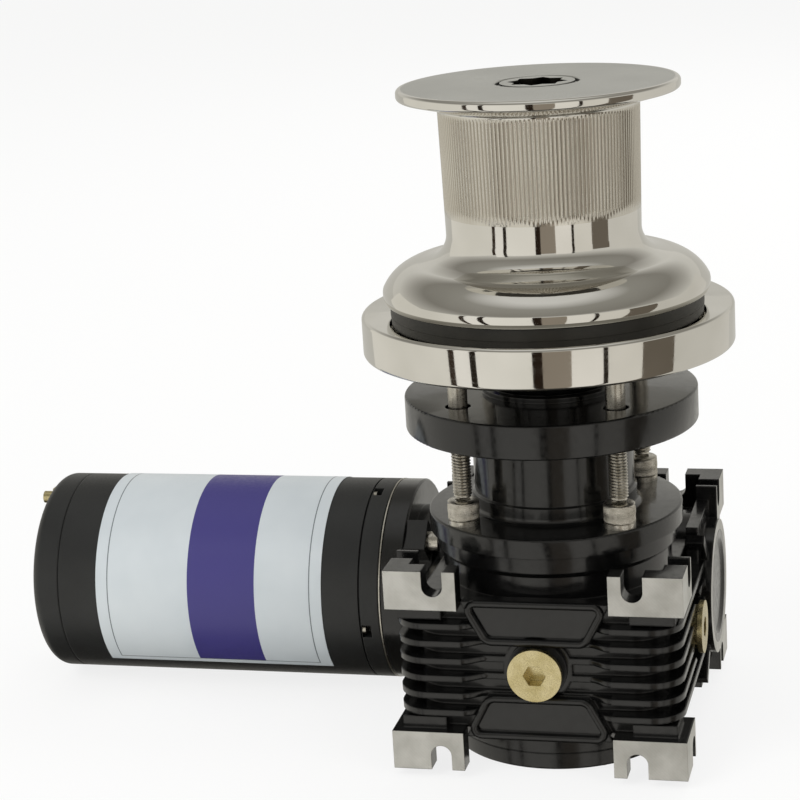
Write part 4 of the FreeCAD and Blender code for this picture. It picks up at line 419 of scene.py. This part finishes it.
def whirled(profile, columns, wave=None):
    """Surface of revolution about Z: radius and height from the profile in millimetres,
    angle from 0 to a full turn. wave(radius, height, angle) may change the radius."""
    angle = np.linspace(0, 2 * math.pi, columns, endpoint=False)[None, :]
    radius = profile[:, :1] + 0 * angle
    height = profile[:, 1:] + 0 * angle
    if wave is not None:
        radius = wave(radius, height, angle + 0 * radius)
    return np.stack([radius * np.cos(angle), radius * np.sin(angle), height], axis=-1) * MM


def smoothed(node, look, angle=32.0, pick=None, extra=None):
    """A merged, smooth-shaded copy of a CAD node in its finish. pick(normals, centres)
    marks the faces that get the extra finish."""
    source = FRAME["nodes"][node]
    mesh = source.data.copy()
    mesh.materials.clear()
    work = bmesh.new()
    work.from_mesh(mesh)
    bmesh.ops.remove_doubles(work, verts=work.verts, dist=2e-6)
    work.to_mesh(mesh)
    work.free()
    if "custom_normal" in mesh.attributes:
        mesh.attributes.remove(mesh.attributes["custom_normal"])
    mesh.shade_smooth()
    mesh.set_sharp_from_angle(angle=math.radians(angle))
    body = source["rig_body"]
    new = piece(node + "_skin", mesh, body, [look] + ([extra] if extra else []), [node])
    if pick is not None:
        count = len(mesh.polygons)
        normals, centres = np.zeros(count * 3), np.zeros(count * 3)
        mesh.polygons.foreach_get("normal", normals)
        mesh.polygons.foreach_get("center", centres)
        chosen = pick(normals.reshape(-1, 3), centres.reshape(-1, 3) / MM)
        mesh.polygons.foreach_set("material_index", chosen.astype(np.int32))
        mesh.update()
    return new


# ---------------------------------------------------------------- sizes a user would change
def length(title, text, value):
    """A size in metres that can't be negative."""
    return FloatProperty(name=title, description=text, default=value, min=0.0, subtype="DISTANCE",
                         unit="LENGTH")


class DrumSizes(bpy.types.PropertyGroup):
    """The ribbed barrel."""
    rib_depth: length("Rib depth", "How deep the grooves between the barrel's ribs are", 0.00032)
    rib_count: IntProperty(name="Ribs", description="Number of upright ribs round the barrel",
                           default=148, min=12, max=400)


class FastenerSizes(bpy.types.PropertyGroup):
    """Studs and cap screws."""
    thread_pitch: length("Thread pitch", "Rise of the stud's thread in one turn", 0.00125)
    thread_depth: length("Thread depth", "Depth of the stud's thread", 0.0006)
    knurl_count: IntProperty(name="Knurls", description="Knurls round each screw head",
                             default=44, min=8, max=120)


class MotorSizes(bpy.types.PropertyGroup):
    """The label's film."""
    film_long: length("Label length", "Length of the label along the motor", 0.1045)
    film_round: length("Label reach", "Length of the label round the motor", 0.156)
    band_start: length("Band start", "Distance from the label's outer end to its band", 0.043)
    band_wide: length("Band width", "Width of the printed band", 0.031)


class StudioSettings(bpy.types.PropertyGroup):
    """Camera and surroundings."""
    lens: FloatProperty(name="Lens", description="Focal length of the camera in millimetres",
                        default=103.4, min=10.0, max=500.0, unit="CAMERA")
    backdrop: FloatVectorProperty(name="Backdrop", description="Colour behind the capstan",
                                  default=(1.0, 1.0, 1.0), min=0.0, max=1.0, subtype="COLOR")


class CapstanOperator:
    """What all the operators share."""
    bl_options = {"REGISTER", "UNDO"}


# ---------------------------------------------------------------- drum
def drum_outside():
    """The drum's outside from foot to ribs, in millimetres: foot edge, bell, shoulder, neck."""
    return np.concatenate([
        rounded([(60.0, 24.0), (64.7, 21.5), (65.4, 21.9)], 3)[1:],
        arc((65.4, 21.9), (66.0, 26.6), 6.5, -1, 14),
        arc((66.0, 26.6), (51.4, 36.7), 18.0, -1, 40),
        arc((51.4, 36.7), (45.4, 38.3), 30.0, 1, 10),
        arc((45.4, 38.3), (39.3, 47.6), 10.5, 1, 24),
        np.array([[39.3, 47.6], [39.4, 53.0], [39.45, 56.0]])])


def drum_inside():
    """The drum's inside, in millimetres: cap recess, shaft bore, hub and hollow bell."""
    return np.concatenate([
        np.array([[16.4, 105.8], [16.4, 78.0], [12.6, 78.0], [12.6, 19.3], [21.0, 19.3],
                  [21.0, 93.3], [34.6, 93.3], [33.9, 49.7]]),
        arc((33.9, 44.0), (42.5, 35.0), 12.0, -1, 8),
        arc((42.5, 35.0), (50.0, 32.8), 24.0, -1, 6),
        arc((50.0, 32.8), (60.6, 26.0), 16.0, -1, 10),
        np.array([[60.6, 26.0], [60.0, 24.0]])])


def groove_share(height):
    """How deep the grooves are at a height in millimetres, from 0 to 1: the smooth step
    3t^2 - 2t^3 over the lowest 4.6 mm, and a straight fade over the highest 1.6 mm."""
    low = np.clip((height - RIB_FOOT) / 4.6, 0, 1)
    return low * low * (3 - 2 * low) * np.clip((RIB_TOP - height) / 1.6, 0, 1)


def ribbed_barrel(count, depth):
    """The barrel: its crest radius grows evenly with height, less the depth in millimetres
    times the share above times half of one minus the cosine of the angle times the count. The
    same product, without the depth, is kept as the groove attribute."""
    heights = np.concatenate([np.linspace(RIB_FOOT, 61.0, 9), np.linspace(62.2, 94.5, 22),
                              np.linspace(95.6, RIB_TOP, 6)])
    crest = RIB_RADIUS + (heights - RIB_FOOT) * RIB_FLARE / (RIB_TOP - RIB_FOOT)
    columns = count * 8

    def groove(height, angle):
        return groove_share(height) * (0.5 - 0.5 * np.cos(angle * count))

    mesh = lattice("barrel", whirled(
        np.stack([crest, heights], axis=1), columns,
        lambda radius, height, angle: radius - depth * groove(height, angle)))
    turn = np.linspace(0, 2 * math.pi, columns, endpoint=False)
    layer = mesh.attributes.new("groove", "FLOAT", "POINT")
    layer.data.foreach_set("value", groove(heights[:, None], turn).ravel().astype(np.float32))
    mesh.shade_smooth()
    return mesh


class CAPSTAN_OT_drum(CapstanOperator, bpy.types.Operator):
    """Warping drum: mirror-polished bell and flange, ribbed barrel"""
    bl_idname = "capstan.drum"
    bl_label = "Drum"

    def execute(self, context):
        sizes = context.scene.capstan_drum
        flange = rounded([
            (RIB_RADIUS + RIB_FLARE, RIB_TOP), (40.35, 98.8, 1.2), (56.5, 102.9, 1.6),
            (56.5, 107.0, 1.6), (54.4, 107.0)], 8)
        top = np.array([[54.4, 107.0], [40.0, 107.0], [17.3, 107.0], [16.4, 105.8]])

        def skin(name, profile, columns=256):
            """The profiles run so that their skins already face outwards."""
            return close_up(lattice(name, whirled(profile, columns)), outwards=False)

        barrel = ribbed_barrel(sizes.rib_count, sizes.rib_depth / MM)
        for name, look, mesh, stands_for in (
                ("drum_bell", "polished", skin("bell", drum_outside()), ["drum"]),
                ("drum_barrel", "ribbed", barrel, ()),
                ("drum_flange", "polished", skin("flange", flange), ()),
                ("drum_top", "top", skin("top", top), ()),
                ("drum_inside", "ground", skin("inside", drum_inside(), 128), ())):
            piece(name, mesh, "drum", look, stands_for)

        def socket(normals, centres):
            """The cap's faces inside its rim and below its top, which get the darkened steel of
            painted shade.
            """
            inner = np.hypot(centres[:, 0], centres[:, 1]) < 12.0
            return inner & (centres[:, 2] < 106.9)

        # the socket's faces take the painted shade
        smoothed("drum_cap", "top", 30.0, socket, "bore")
        # a black rubber ring in the gap round the cap: painted shade where the gap looks dark
        seal = rounded([(16.35, 105.0), (17.35, 105.0), (17.35, 106.55, 0.3), (16.35, 106.55)], 4)
        gap_shade_skin = close_up(lattice("seal", whirled(seal, 96), closed_rows=True))
        piece("cap_gap_shade", gap_shade_skin, "drum", "rubber")
        return {"FINISHED"}


class CAPSTAN_OT_deck_plate(CapstanOperator, bpy.types.Operator):
    """Mirror-polished base plate, skirt ring and bush"""
    bl_idname = "capstan.deck_plate"
    bl_label = "Deck plate"

    def execute(self, context):
        profile = rounded([(15.7, 0.0), (75.5, 0.0, 1.6), (75.5, 16.5, 1.6), (15.7, 16.5)], 8)
        plate = close_up(lattice("deck_plate", whirled(profile, 320), closed_rows=True))
        piece("deck_plate_skin", plate, "base", "polished", ["deck_plate"])
        sleeve = rounded([(15.7, -18.0), (23.0, -18.0, 0.5), (23.0, -0.05), (15.7, -0.05)], 4)
        sleeve_skin = close_up(lattice("sleeve", whirled(sleeve, 96), closed_rows=True))
        piece("deck_sleeve", sleeve_skin, "base", "riser")
        smoothed("skirt_ring", "skirt")
        smoothed("deck_bush", "bronze")
        return {"FINISHED"}


# ---------------------------------------------------------------- fasteners
def threaded_rod(name, radius, plain_start, plain_end, thread_end, pitch, depth, columns=40):
    """A rod along Z, in millimetres: plain from plain_start down to plain_end, then threaded
    to thread_end. In the threaded part the radius is a triangle wave of height over pitch plus
    angle over a turn, so that its crest climbs as a helix; both ends of the thread fade out."""
    per_turn = 8
    rows = int(abs(plain_end - thread_end) / pitch * per_turn)
    threaded = np.linspace(plain_end, thread_end, rows + 1)
    heights = np.concatenate([[plain_start, plain_start], threaded, [thread_end]])
    base = np.full(len(heights), radius)
    base[0] = base[-1] = 0.0

    def wave(r, z, angle):
        phase = (z / pitch + angle / (2 * math.pi)) % 1.0
        saw = np.abs(phase * 2 - 1)
        fade = np.clip(np.abs(z - plain_end) / pitch, 0, 1) * (z < plain_end)
        chamfer = np.clip(1.0 - np.abs(z - thread_end) / (pitch * 1.2), 0, 1) * depth * 1.2
        return np.where(r > 0, r - depth * saw * fade - chamfer, 0.0)

    return lattice(name, whirled(np.stack([base, heights], axis=1), columns, wave))


def socket_screw(name, head_rad, head_high, shank_rad, shank_long, hexagon, knurls):
    """A screw that stands on z = 0: shank below, knurled head above with a hexagon socket.
    The knurl is a crossed cosine of angle and height; the socket's wall is a hexagon's radius,
    half its width over the cosine of the angle from the nearest flat's middle."""
    rings = 14
    side = np.linspace(0.5, head_high - 0.9, rings)
    profile = np.concatenate([
        [[0.0, -shank_long], [shank_rad * 0.8, -shank_long], [shank_rad, -shank_long + 0.8],
         [shank_rad, 0.0], [head_rad - 0.3, 0.0]],
        np.stack([np.full(rings, head_rad), side], axis=1),
        [[head_rad - 0.15, head_high - 0.45], [head_rad - 0.7, head_high],
         [hexagon, head_high], [hexagon * 0.97, head_high - 0.3],
         [hexagon * 0.97, head_high * 0.45], [0.0, head_high * 0.35]]])
    knurl, hexagonal = 1, 2
    kinds = np.zeros(len(profile))
    kinds[5:5 + rings] = knurl
    kinds[7 + rings:10 + rings] = hexagonal

    def wave(radius, height, angle):
        kind = kinds[:, None] + 0 * angle
        crossed = np.cos(angle * knurls + height * 5.5) * np.cos(angle * knurls - height * 5.5)
        knurled = radius - 0.28 * (0.5 - 0.5 * crossed)
        flat = np.abs((angle + math.pi / 6) % (math.pi / 3) - math.pi / 6)
        return np.where(kind == knurl, knurled,
                        np.where(kind == hexagonal, radius / 2 / np.cos(flat), radius))

    return lattice(name, whirled(profile, knurls * 6, wave))


class CAPSTAN_OT_fasteners(CapstanOperator, bpy.types.Operator):
    """Threaded studs, knurled socket screws and their spring washers"""
    bl_idname = "capstan.fasteners"
    bl_label = "Studs and screws"

    def execute(self, context):
        sizes = context.scene.capstan_fasteners
        pitch, depth = sizes.thread_pitch / MM, sizes.thread_depth / MM
        studs, screws, washers = [], [], []
        for step in range(4):
            angle = math.radians(45 + 90 * step)
            spot = Vector((math.cos(angle), math.sin(angle), 0)) * 0.045
            rod = threaded_rod("stud", 3.95, 10.0, -30.0, -56.0, pitch, depth)
            studs.append(moved(rod, Matrix.Translation(spot)))
            screw = socket_screw("screw", 6.5, 8.0, 4.0, 17.0, 6.0, sizes.knurl_count)
            turn = Matrix.Rotation(0.7 * step + 0.2, 4, "Z")
            screws.append(moved(screw, Matrix.Translation(spot + Vector((0, 0, -0.065))) @ turn))
        piece("deck_studs_thread", close_up(joined("studs", studs), 60.0), "base", "turned",
              ["deck_studs"])
        piece("riser_screws_knurled", close_up(joined("screws", screws), 40.0), "base", "turned",
              ["riser_screws"])
        smoothed("riser_spring_washers", "turned")
        for node in ("adapter_screws", "flange_screws", "bell_screws", "cover_screws"):
            smoothed(node, "turned")
        return {"FINISHED"}


# ---------------------------------------------------------------- castings
class CAPSTAN_OT_riser(CapstanOperator, bpy.types.Operator):
    """Gloss-enamelled riser with its seal"""
    bl_idname = "capstan.riser"
    bl_label = "Riser"

    def execute(self, context):
        smoothed("riser_housing", "riser")
        smoothed("riser_seal", "rubber")
        return {"FINISHED"}


def rim_bar(name, path, front, wide, high):
    """A half-round bar laid along a closed path (x, z in millimetres) on a front face: across
    the bar, the height is a half ellipse of the distance from its middle."""
    ahead, behind = np.roll(path, -1, axis=0), np.roll(path, 1, axis=0)
    run = ahead - behind
    run /= np.linalg.norm(run, axis=1, keepdims=True)
    across = np.stack([-run[:, 1], run[:, 0]], axis=1)
    bow = np.linspace(0, math.pi, 9)
    offset, lift = np.cos(bow) * wide / 2, np.sin(bow) * high
    x = path[None, :, 0] + offset[:, None] * across[None, :, 0]
    z = path[None, :, 1] + offset[:, None] * across[None, :, 1]
    y = front - lift[:, None] + 0 * x
    return lattice(name, np.stack([x, y, z], axis=-1) * MM)


def apron_rims():
    """Raised rims round the two panels that narrow towards the oil plug."""
    rims = []
    for side in (1, -1):
        wide, narrow = GEAR_PLANE + side * 28.2, GEAR_PLANE + side * 12.2
        corners = [(-28.6, wide, 3.0), (28.6, wide, 3.0), (20.0, narrow, 4.5),
                   (-20.0, narrow, 4.5)]
        rims.append(close_up(rim_bar("rim", rounded(corners, 8), -55.9, 3.2, 1.7)))
    return joined("rims", rims)


def fin_blends():
    """Where each fin runs back behind the panels: its front edge follows the smooth step
    3t^2 - 2t^3 between the two depths, and across the fin the edge is a half round."""
    steps, half, root = 14, 1.28, -51.0
    share = np.linspace(0, 1, steps)
    front = -52.95 - 5.0 * share * share * (3 - 2 * share)
    nose = np.linspace(-math.pi / 2, math.pi / 2, 7)[:, None]
    lift = np.concatenate([[[-half]], half * np.sin(nose), [[half]]]) + 0 * share
    depth = np.concatenate([[root + 0 * share], front - 0.6 * (np.cos(nose) - 1.0),
                            [root + 0 * share]])
    blends = []
    for fin in range(6):
        level = GEAR_PLANE + (fin - 2.5) * 7.4
        for side in (1, -1):
            across = side * (20.0 + 10.4 * share) + 0 * lift
            points = np.stack([across, depth, level + lift], axis=-1)
            blends.append(close_up(lattice("blend", points * MM, loop=False)))
    return joined("blends", blends)


class CAPSTAN_OT_gearbox(CapstanOperator, bpy.types.Operator):
    """Enamelled finned housing with milled feet, cover, end cap and oil plugs"""
    bl_idname = "capstan.gearbox"
    bl_label = "Gearbox"

    def execute(self, context):
        def milled(normals, centres):
            """The faces of the feet and of the worm's ends."""
            front = (normals[:, 1] < -0.99) & (centres[:, 1] < -59.9)
            sides = (np.abs(normals[:, 0]) > 0.99) & (np.abs(centres[:, 0]) > 59.9)
            rear = (normals[:, 1] > 0.99) & (centres[:, 1] > 83.9)
            return front | sides | rear

        smoothed("gearbox_housing", "gearbox", pick=milled, extra="milled")
        piece("panel_rims", apron_rims(), "base", "gearbox")
        piece("fin_steps", fin_blends(), "base", "gearbox")
        # the boss that carries the riser's foot flange
        neck = rounded([(44.0, -84.5), (47.4, -84.5), (49.8, -82.0, 1.0), (49.8, -75.05),
                        (44.0, -75.05)], 6)
        collar = close_up(lattice("neck", whirled(neck, 160), closed_rows=True))
        piece("boss_neck", collar, "base", "gearbox")
        for node in ("gearbox_cover", "worm_end_cap"):
            smoothed(node, "gearbox")
        smoothed("shaft_cover", "plastic")
        smoothed("oil_plugs", "plated")
        smoothed("plug_washers", "plastic")
        return {"FINISHED"}


# ---------------------------------------------------------------- motor
def film_sheet(film_long, film_round):
    """The label's film, a closed sheet 0.2 mm thick: rows run along X and back again one wall
    further in, and columns follow the arc from the lower front edge over the top. Its UV map
    holds the distances along both."""
    low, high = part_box("motor_label")
    outer, inner, middle = 0.04478, 0.04458, 0.0447
    first_angle = math.radians(180 + 44)
    columns, rows = 160, 24
    share = np.linspace(0, 1, columns)[None, :]
    once = np.linspace(0, 1, rows)
    along = np.concatenate([once, once[::-1]])[:, None]
    radius = np.where(np.arange(2 * rows) < rows, outer, inner)[:, None]
    angle = first_angle - film_round / middle * share + 0 * along
    x = low.x + (high.x - low.x) * along + 0 * share
    grid = np.stack([x, MOTOR_LINE[1] + radius * np.cos(angle),
                     MOTOR_LINE[2] + radius * np.sin(angle)], axis=-1)
    mesh = lattice("film", grid, loop=False, closed_rows=True)
    corner = np.zeros(len(mesh.loops), np.int32)
    mesh.loops.foreach_get("vertex_index", corner)
    flat = np.stack([film_long * along + 0 * share, film_round * share + 0 * along], axis=-1)
    mesh.uv_layers.new(name="film").data.foreach_set(
        "uv", flat.reshape(-1, 2)[corner].ravel().astype(np.float32))
    mesh.shade_smooth()
    mesh.set_sharp_from_angle(angle=math.radians(35.0))
    return mesh


class CAPSTAN_OT_motor(CapstanOperator, bpy.types.Operator):
    """Satin-coated motor shells with adapter, terminals and printed label"""
    bl_idname = "capstan.motor"
    bl_label = "Motor"

    def execute(self, context):
        for node, look in (("motor_yoke", "motor"), ("motor_rear_cap", "motor"),
                           ("motor_front_bell", "motor"), ("motor_adapter", "riser"),
                           ("terminal_studs", "plated"), ("terminal_nuts", "plated"),
                           ("terminal_sleeves", "plastic")):
            smoothed(node, look)
        sizes = context.scene.capstan_motor
        film = film_sheet(sizes.film_long, sizes.film_round)
        piece("motor_film", film, "base", "film", ["motor_label"])
        # a thin bright band of turned steel round the front bell's edge: a painted highlight
        line = whirled(np.array([[44.0, 80.1], [44.62, 80.2], [44.62, 80.7], [44.0, 80.8]]), 160)
        edge = close_up(lattice("edge", line))
        turned = Matrix.Translation(MOTOR_LINE) @ Matrix.Rotation(math.radians(-90), 4, "Y")
        piece("bell_edge_highlight", moved(edge, turned), "base", "turned")
        return {"FINISHED"}


class CAPSTAN_OT_inner_works(CapstanOperator, bpy.types.Operator):
    """Shafts, gears, bearings, seals and the motor's inner pieces in their own finishes"""
    bl_idname = "capstan.inner_works"
    bl_label = "Inner works"

    def execute(self, context):
        looks = {
            "main_shaft": "ground", "drum_key": "ground", "wheel_key": "ground",
            "wheel_hub": "iron", "worm_wheel": "bronze", "worm_shaft": "ground",
            "wheel_seals": "rubber", "worm_seal": "rubber", "armature_shaft": "ground",
            "armature_key": "ground", "armature_core": "ground", "armature_windings": "copper",
            "commutator": "copper", "motor_magnets": "magnet", "brush_holder": "plastic",
            "brushes": "carbon"}
        for node, source in FRAME["nodes"].items():
            if source.hide_render:
                continue
            look = looks.get(node, "bearing" if "bearing" in node else None)
            if look is None:
                raise RuntimeError(f"{node} has no finish")
            source.data.materials.clear()
            source.data.materials.append(finish(look))
        return {"FINISHED"}


# ---------------------------------------------------------------- stage
def flat_sheet(name, corners, made):
    """One four-cornered stage face in its material."""
    mesh = bpy.data.meshes.new(name)
    mesh.from_pydata(corners, [], [(0, 1, 2, 3)])
    mesh.materials.append(made)
    sheet = bpy.data.objects.new(name, mesh)
    bpy.context.scene.collection.objects.link(sheet)
    return sheet


def lay_floor(backdrop):
    """White paper under the capstan. Seen directly it is mostly its own white, so that only a
    soft shadow is left. Polished metal doesn't mirror it."""
    half, level = 4.0, CAD_BOX[0][2] - 0.0002
    made = bpy.data.materials.new("studio_floor")
    tree = cleared(made)
    paper = add(tree, "ShaderNodeBsdfDiffuse", {"Color": linear("#F4F4F2")})
    glow = add(tree, "ShaderNodeEmission", {"Color": (*backdrop, 1.0), "Strength": 1.0})
    path = add(tree, "ShaderNodeLightPath")
    seen = add(tree, "ShaderNodeMath", {0: path.outputs["Is Camera Ray"],
                                        1: path.outputs["Is Glossy Ray"]}, operation="MAXIMUM")
    part = add(tree, "ShaderNodeMath", {0: seen.outputs[0], 1: 0.82}, operation="MULTIPLY")
    mixed = add(tree, "ShaderNodeMixShader", {0: part.outputs[0], 1: paper.outputs[0],
                                              2: glow.outputs[0]})
    add(tree, "ShaderNodeOutputMaterial", {"Surface": mixed.outputs[0]})
    floor = flat_sheet("floor", [(-half, -half, level), (half, -half, level),
                                 (half, half, level), (-half, half, level)], made)
    floor.visible_glossy = False


def surround(scene, backdrop):
    """The air: the backdrop's white for the camera, a room for polished metal, which is dark
    below, bright at the walls and duller above with a lamp, and soft light for the rest."""
    scene.world = bpy.data.worlds.new("studio_air")
    tree = cleared(scene.world)
    path = add(tree, "ShaderNodeLightPath")
    soft = add(tree, "ShaderNodeBackground", {"Color": linear("#F1F1EF"), "Strength": 0.75})
    bright = add(tree, "ShaderNodeBackground", {"Color": (*backdrop, 1.0), "Strength": 1.0})
    toward = add(tree, "ShaderNodeTexCoord").outputs["Generated"]
    upward = add(tree, "ShaderNodeSeparateXYZ", {"Vector": toward}).outputs["Z"]
    height = add(tree, "ShaderNodeMapRange", {"Value": upward, "From Min": -1.0, "From Max": 1.0})
    room = add(tree, "ShaderNodeValToRGB", {"Fac": height.outputs[0]})
    stops = ((0.0, "#3B3935"), (0.36, "#5A5853"), (0.5, "#DCD9D1"), (0.66, "#D2D0C9"),
             (0.8, "#8D8A83"), (0.92, "#9C9A93"), (0.98, "#DDDCD8"))
    present = len(room.color_ramp.elements)
    for count, (share, tone) in enumerate(stops):
        if count >= present:
            room.color_ramp.elements.new(share)
        stop = room.color_ramp.elements[count]
        stop.position, stop.color = share, linear(tone)
    mirrored = add(tree, "ShaderNodeBackground", {"Color": room.outputs["Color"], "Strength": 1.0})
    unseen = add(tree, "ShaderNodeMixShader", {0: path.outputs["Is Glossy Ray"],
                                               1: soft.outputs[0], 2: mirrored.outputs[0]})
    mixed = add(tree, "ShaderNodeMixShader", {0: path.outputs["Is Camera Ray"],
                                              1: unseen.outputs[0], 2: bright.outputs[0]})
    add(tree, "ShaderNodeOutputWorld", {"Surface": mixed.outputs[0]})


def hang_lamps(scene):
    """Three soft square lamps aimed at the capstan: name, place, size in metres and watts."""
    for name, place, size, power in (
            ("key", (-1.1, -1.5, 1.5), 1.1, 20.0),
            ("fill", (1.6, -1.1, 0.7), 0.9, 8.0),
            ("rear", (0.3, 1.7, 1.3), 1.2, 12.0)):
        lamp = bpy.data.lights.new(name, "AREA")
        lamp.shape, lamp.size, lamp.energy = "SQUARE", size, power
        holder = bpy.data.objects.new(name, lamp)
        holder.location = place
        aim = Vector((0.0, 0.0, -0.03)) - Vector(place)
        holder.rotation_euler = aim.to_track_quat("-Z", "Y").to_euler()
        holder.visible_glossy = False
        scene.collection.objects.link(holder)


def stand_cards():
    """The room's windows, frames and walls, as upright cards all round that only reflections
    see. Each has the angles where it starts and ends, in degrees from the camera's side,
    anticlockwise, its top in metres, and its tone."""
    front, foot = -90 + 14.8, -2.6
    for name, start, end, top, tone in (
            ("wall_left", -140, -66, 0.9, "#E6E3DA"), ("strip_left", -66, -62, 0.7, "#3A3129"),
            ("window_left", -62, -52, 1.0, "#F3F0E9"), ("mullion_left", -52, -48, 1.0, "#2B2620"),
            ("window_wide", -48, -14, 0.85, "#F2EFE7"), ("frame_middle", -14, -8, 0.75, "#2A211A"),
            ("screen_middle", -8, 9, 0.62, "#958B7E"), ("window_right", 9, 28, 0.8, "#F2EEE6"),
            ("mullion_right", 28, 31, 0.8, "#2E2822"), ("curtain", 31, 53, 0.7, "#E4E0D7"),
            ("door_right", 53, 76, 0.5, "#6E665B"), ("wall_right", 76, 140, 0.8, "#D6D3CB"),
            ("wall_rear", 140, 220, 0.5, "#C9C7C0")):
        angle = math.radians(front + (start + end) / 2)
        middle = Vector((math.cos(angle), math.sin(angle), 0)) * CARD_DISTANCE
        reach = CARD_DISTANCE * math.tan(math.radians((end - start) / 2))
        across = Vector((-math.sin(angle), math.cos(angle), 0)) * reach
        low, high = Vector((0, 0, foot)), Vector((0, 0, top))
        made = bpy.data.materials.new(name)
        tree = cleared(made)
        glow = add(tree, "ShaderNodeEmission", {"Color": linear(tone), "Strength": 1.0})
        add(tree, "ShaderNodeOutputMaterial", {"Surface": glow.outputs[0]})
        card = flat_sheet(name, [middle - across + low, middle + across + low,
                                 middle + across + high, middle - across + high], made)
        card.visible_camera = card.visible_diffuse = card.visible_shadow = False
        card.visible_transmission = card.visible_volume_scatter = False


def set_camera(scene, focal_length):
    """The camera looks at a target from an azimuth and a height angle, turned by a roll about
    its own line of sight."""
    azimuth, tilt, roll = math.radians(14.81), math.radians(15.09), math.radians(-3.52)
    target, away = Vector((-0.06403, 0.0, -0.02439)), 0.95917
    back = Vector((math.sin(azimuth) * math.cos(tilt), -math.cos(azimuth) * math.cos(tilt),
                   math.sin(tilt)))
    right = Vector((math.cos(azimuth), math.sin(azimuth), 0.0))
    up = back.cross(right)
    level_right = math.cos(roll) * right + math.sin(roll) * up
    level_up = -math.sin(roll) * right + math.cos(roll) * up
    lens = bpy.data.cameras.new("camera")
    lens.lens, lens.sensor_width = focal_length, 36.0
    camera = bpy.data.objects.new("camera", lens)
    turn = Matrix((level_right, level_up, back)).transposed().to_4x4()
    camera.matrix_world = Matrix.Translation(target + back * away) @ turn
    scene.collection.objects.link(camera)
    scene.camera = camera


class CAPSTAN_OT_studio(CapstanOperator, bpy.types.Operator):
    """Floor, soft lamps, reflected cards, white surroundings and the camera"""
    bl_idname = "capstan.studio"
    bl_label = "Studio"

    def execute(self, context):
        scene = context.scene
        settings = scene.capstan_studio
        lay_floor(settings.backdrop)
        surround(scene, settings.backdrop)
        hang_lamps(scene)
        stand_cards()
        set_camera(scene, settings.lens)
        scene.view_settings.view_transform = "Standard"
        return {"FINISHED"}


class CAPSTAN_PT_sidebar(bpy.types.Panel):
    """The capstan's sizes and its operators"""
    bl_idname = "CAPSTAN_PT_sidebar"
    bl_label = "Deck Capstan"
    bl_space_type = "VIEW_3D"
    bl_region_type = "UI"
    bl_category = "Capstan"

    def draw(self, context):
        for holder in (context.scene.capstan_drum, context.scene.capstan_fasteners,
                       context.scene.capstan_motor, context.scene.capstan_studio):
            for key in holder.__annotations__:
                self.layout.prop(holder, key)
        for operator in OPERATORS:
            self.layout.operator(operator.bl_idname)


OPERATORS = (CAPSTAN_OT_drum, CAPSTAN_OT_deck_plate, CAPSTAN_OT_fasteners, CAPSTAN_OT_riser,
             CAPSTAN_OT_gearbox, CAPSTAN_OT_motor, CAPSTAN_OT_inner_works, CAPSTAN_OT_studio)
GROUPS = {"capstan_drum": DrumSizes, "capstan_fasteners": FastenerSizes,
          "capstan_motor": MotorSizes, "capstan_studio": StudioSettings}


def register():
    """Add the classes and the sizes that each scene keeps."""
    for each in (*GROUPS.values(), *OPERATORS, CAPSTAN_PT_sidebar):
        bpy.utils.register_class(each)
    for name, group in GROUPS.items():
        setattr(bpy.types.Scene, name, PointerProperty(type=group))


def unregister():
    """Take them away again."""
    for name in GROUPS:
        delattr(bpy.types.Scene, name)
    for each in reversed((*GROUPS.values(), *OPERATORS, CAPSTAN_PT_sidebar)):
        bpy.utils.unregister_class(each)


def main():
    """Run every operator in order."""
    register()
    for operator in OPERATORS:
        family, name = operator.bl_idname.split(".")
        getattr(getattr(bpy.ops, family), name)()


if __name__ == "__main__":
    main()
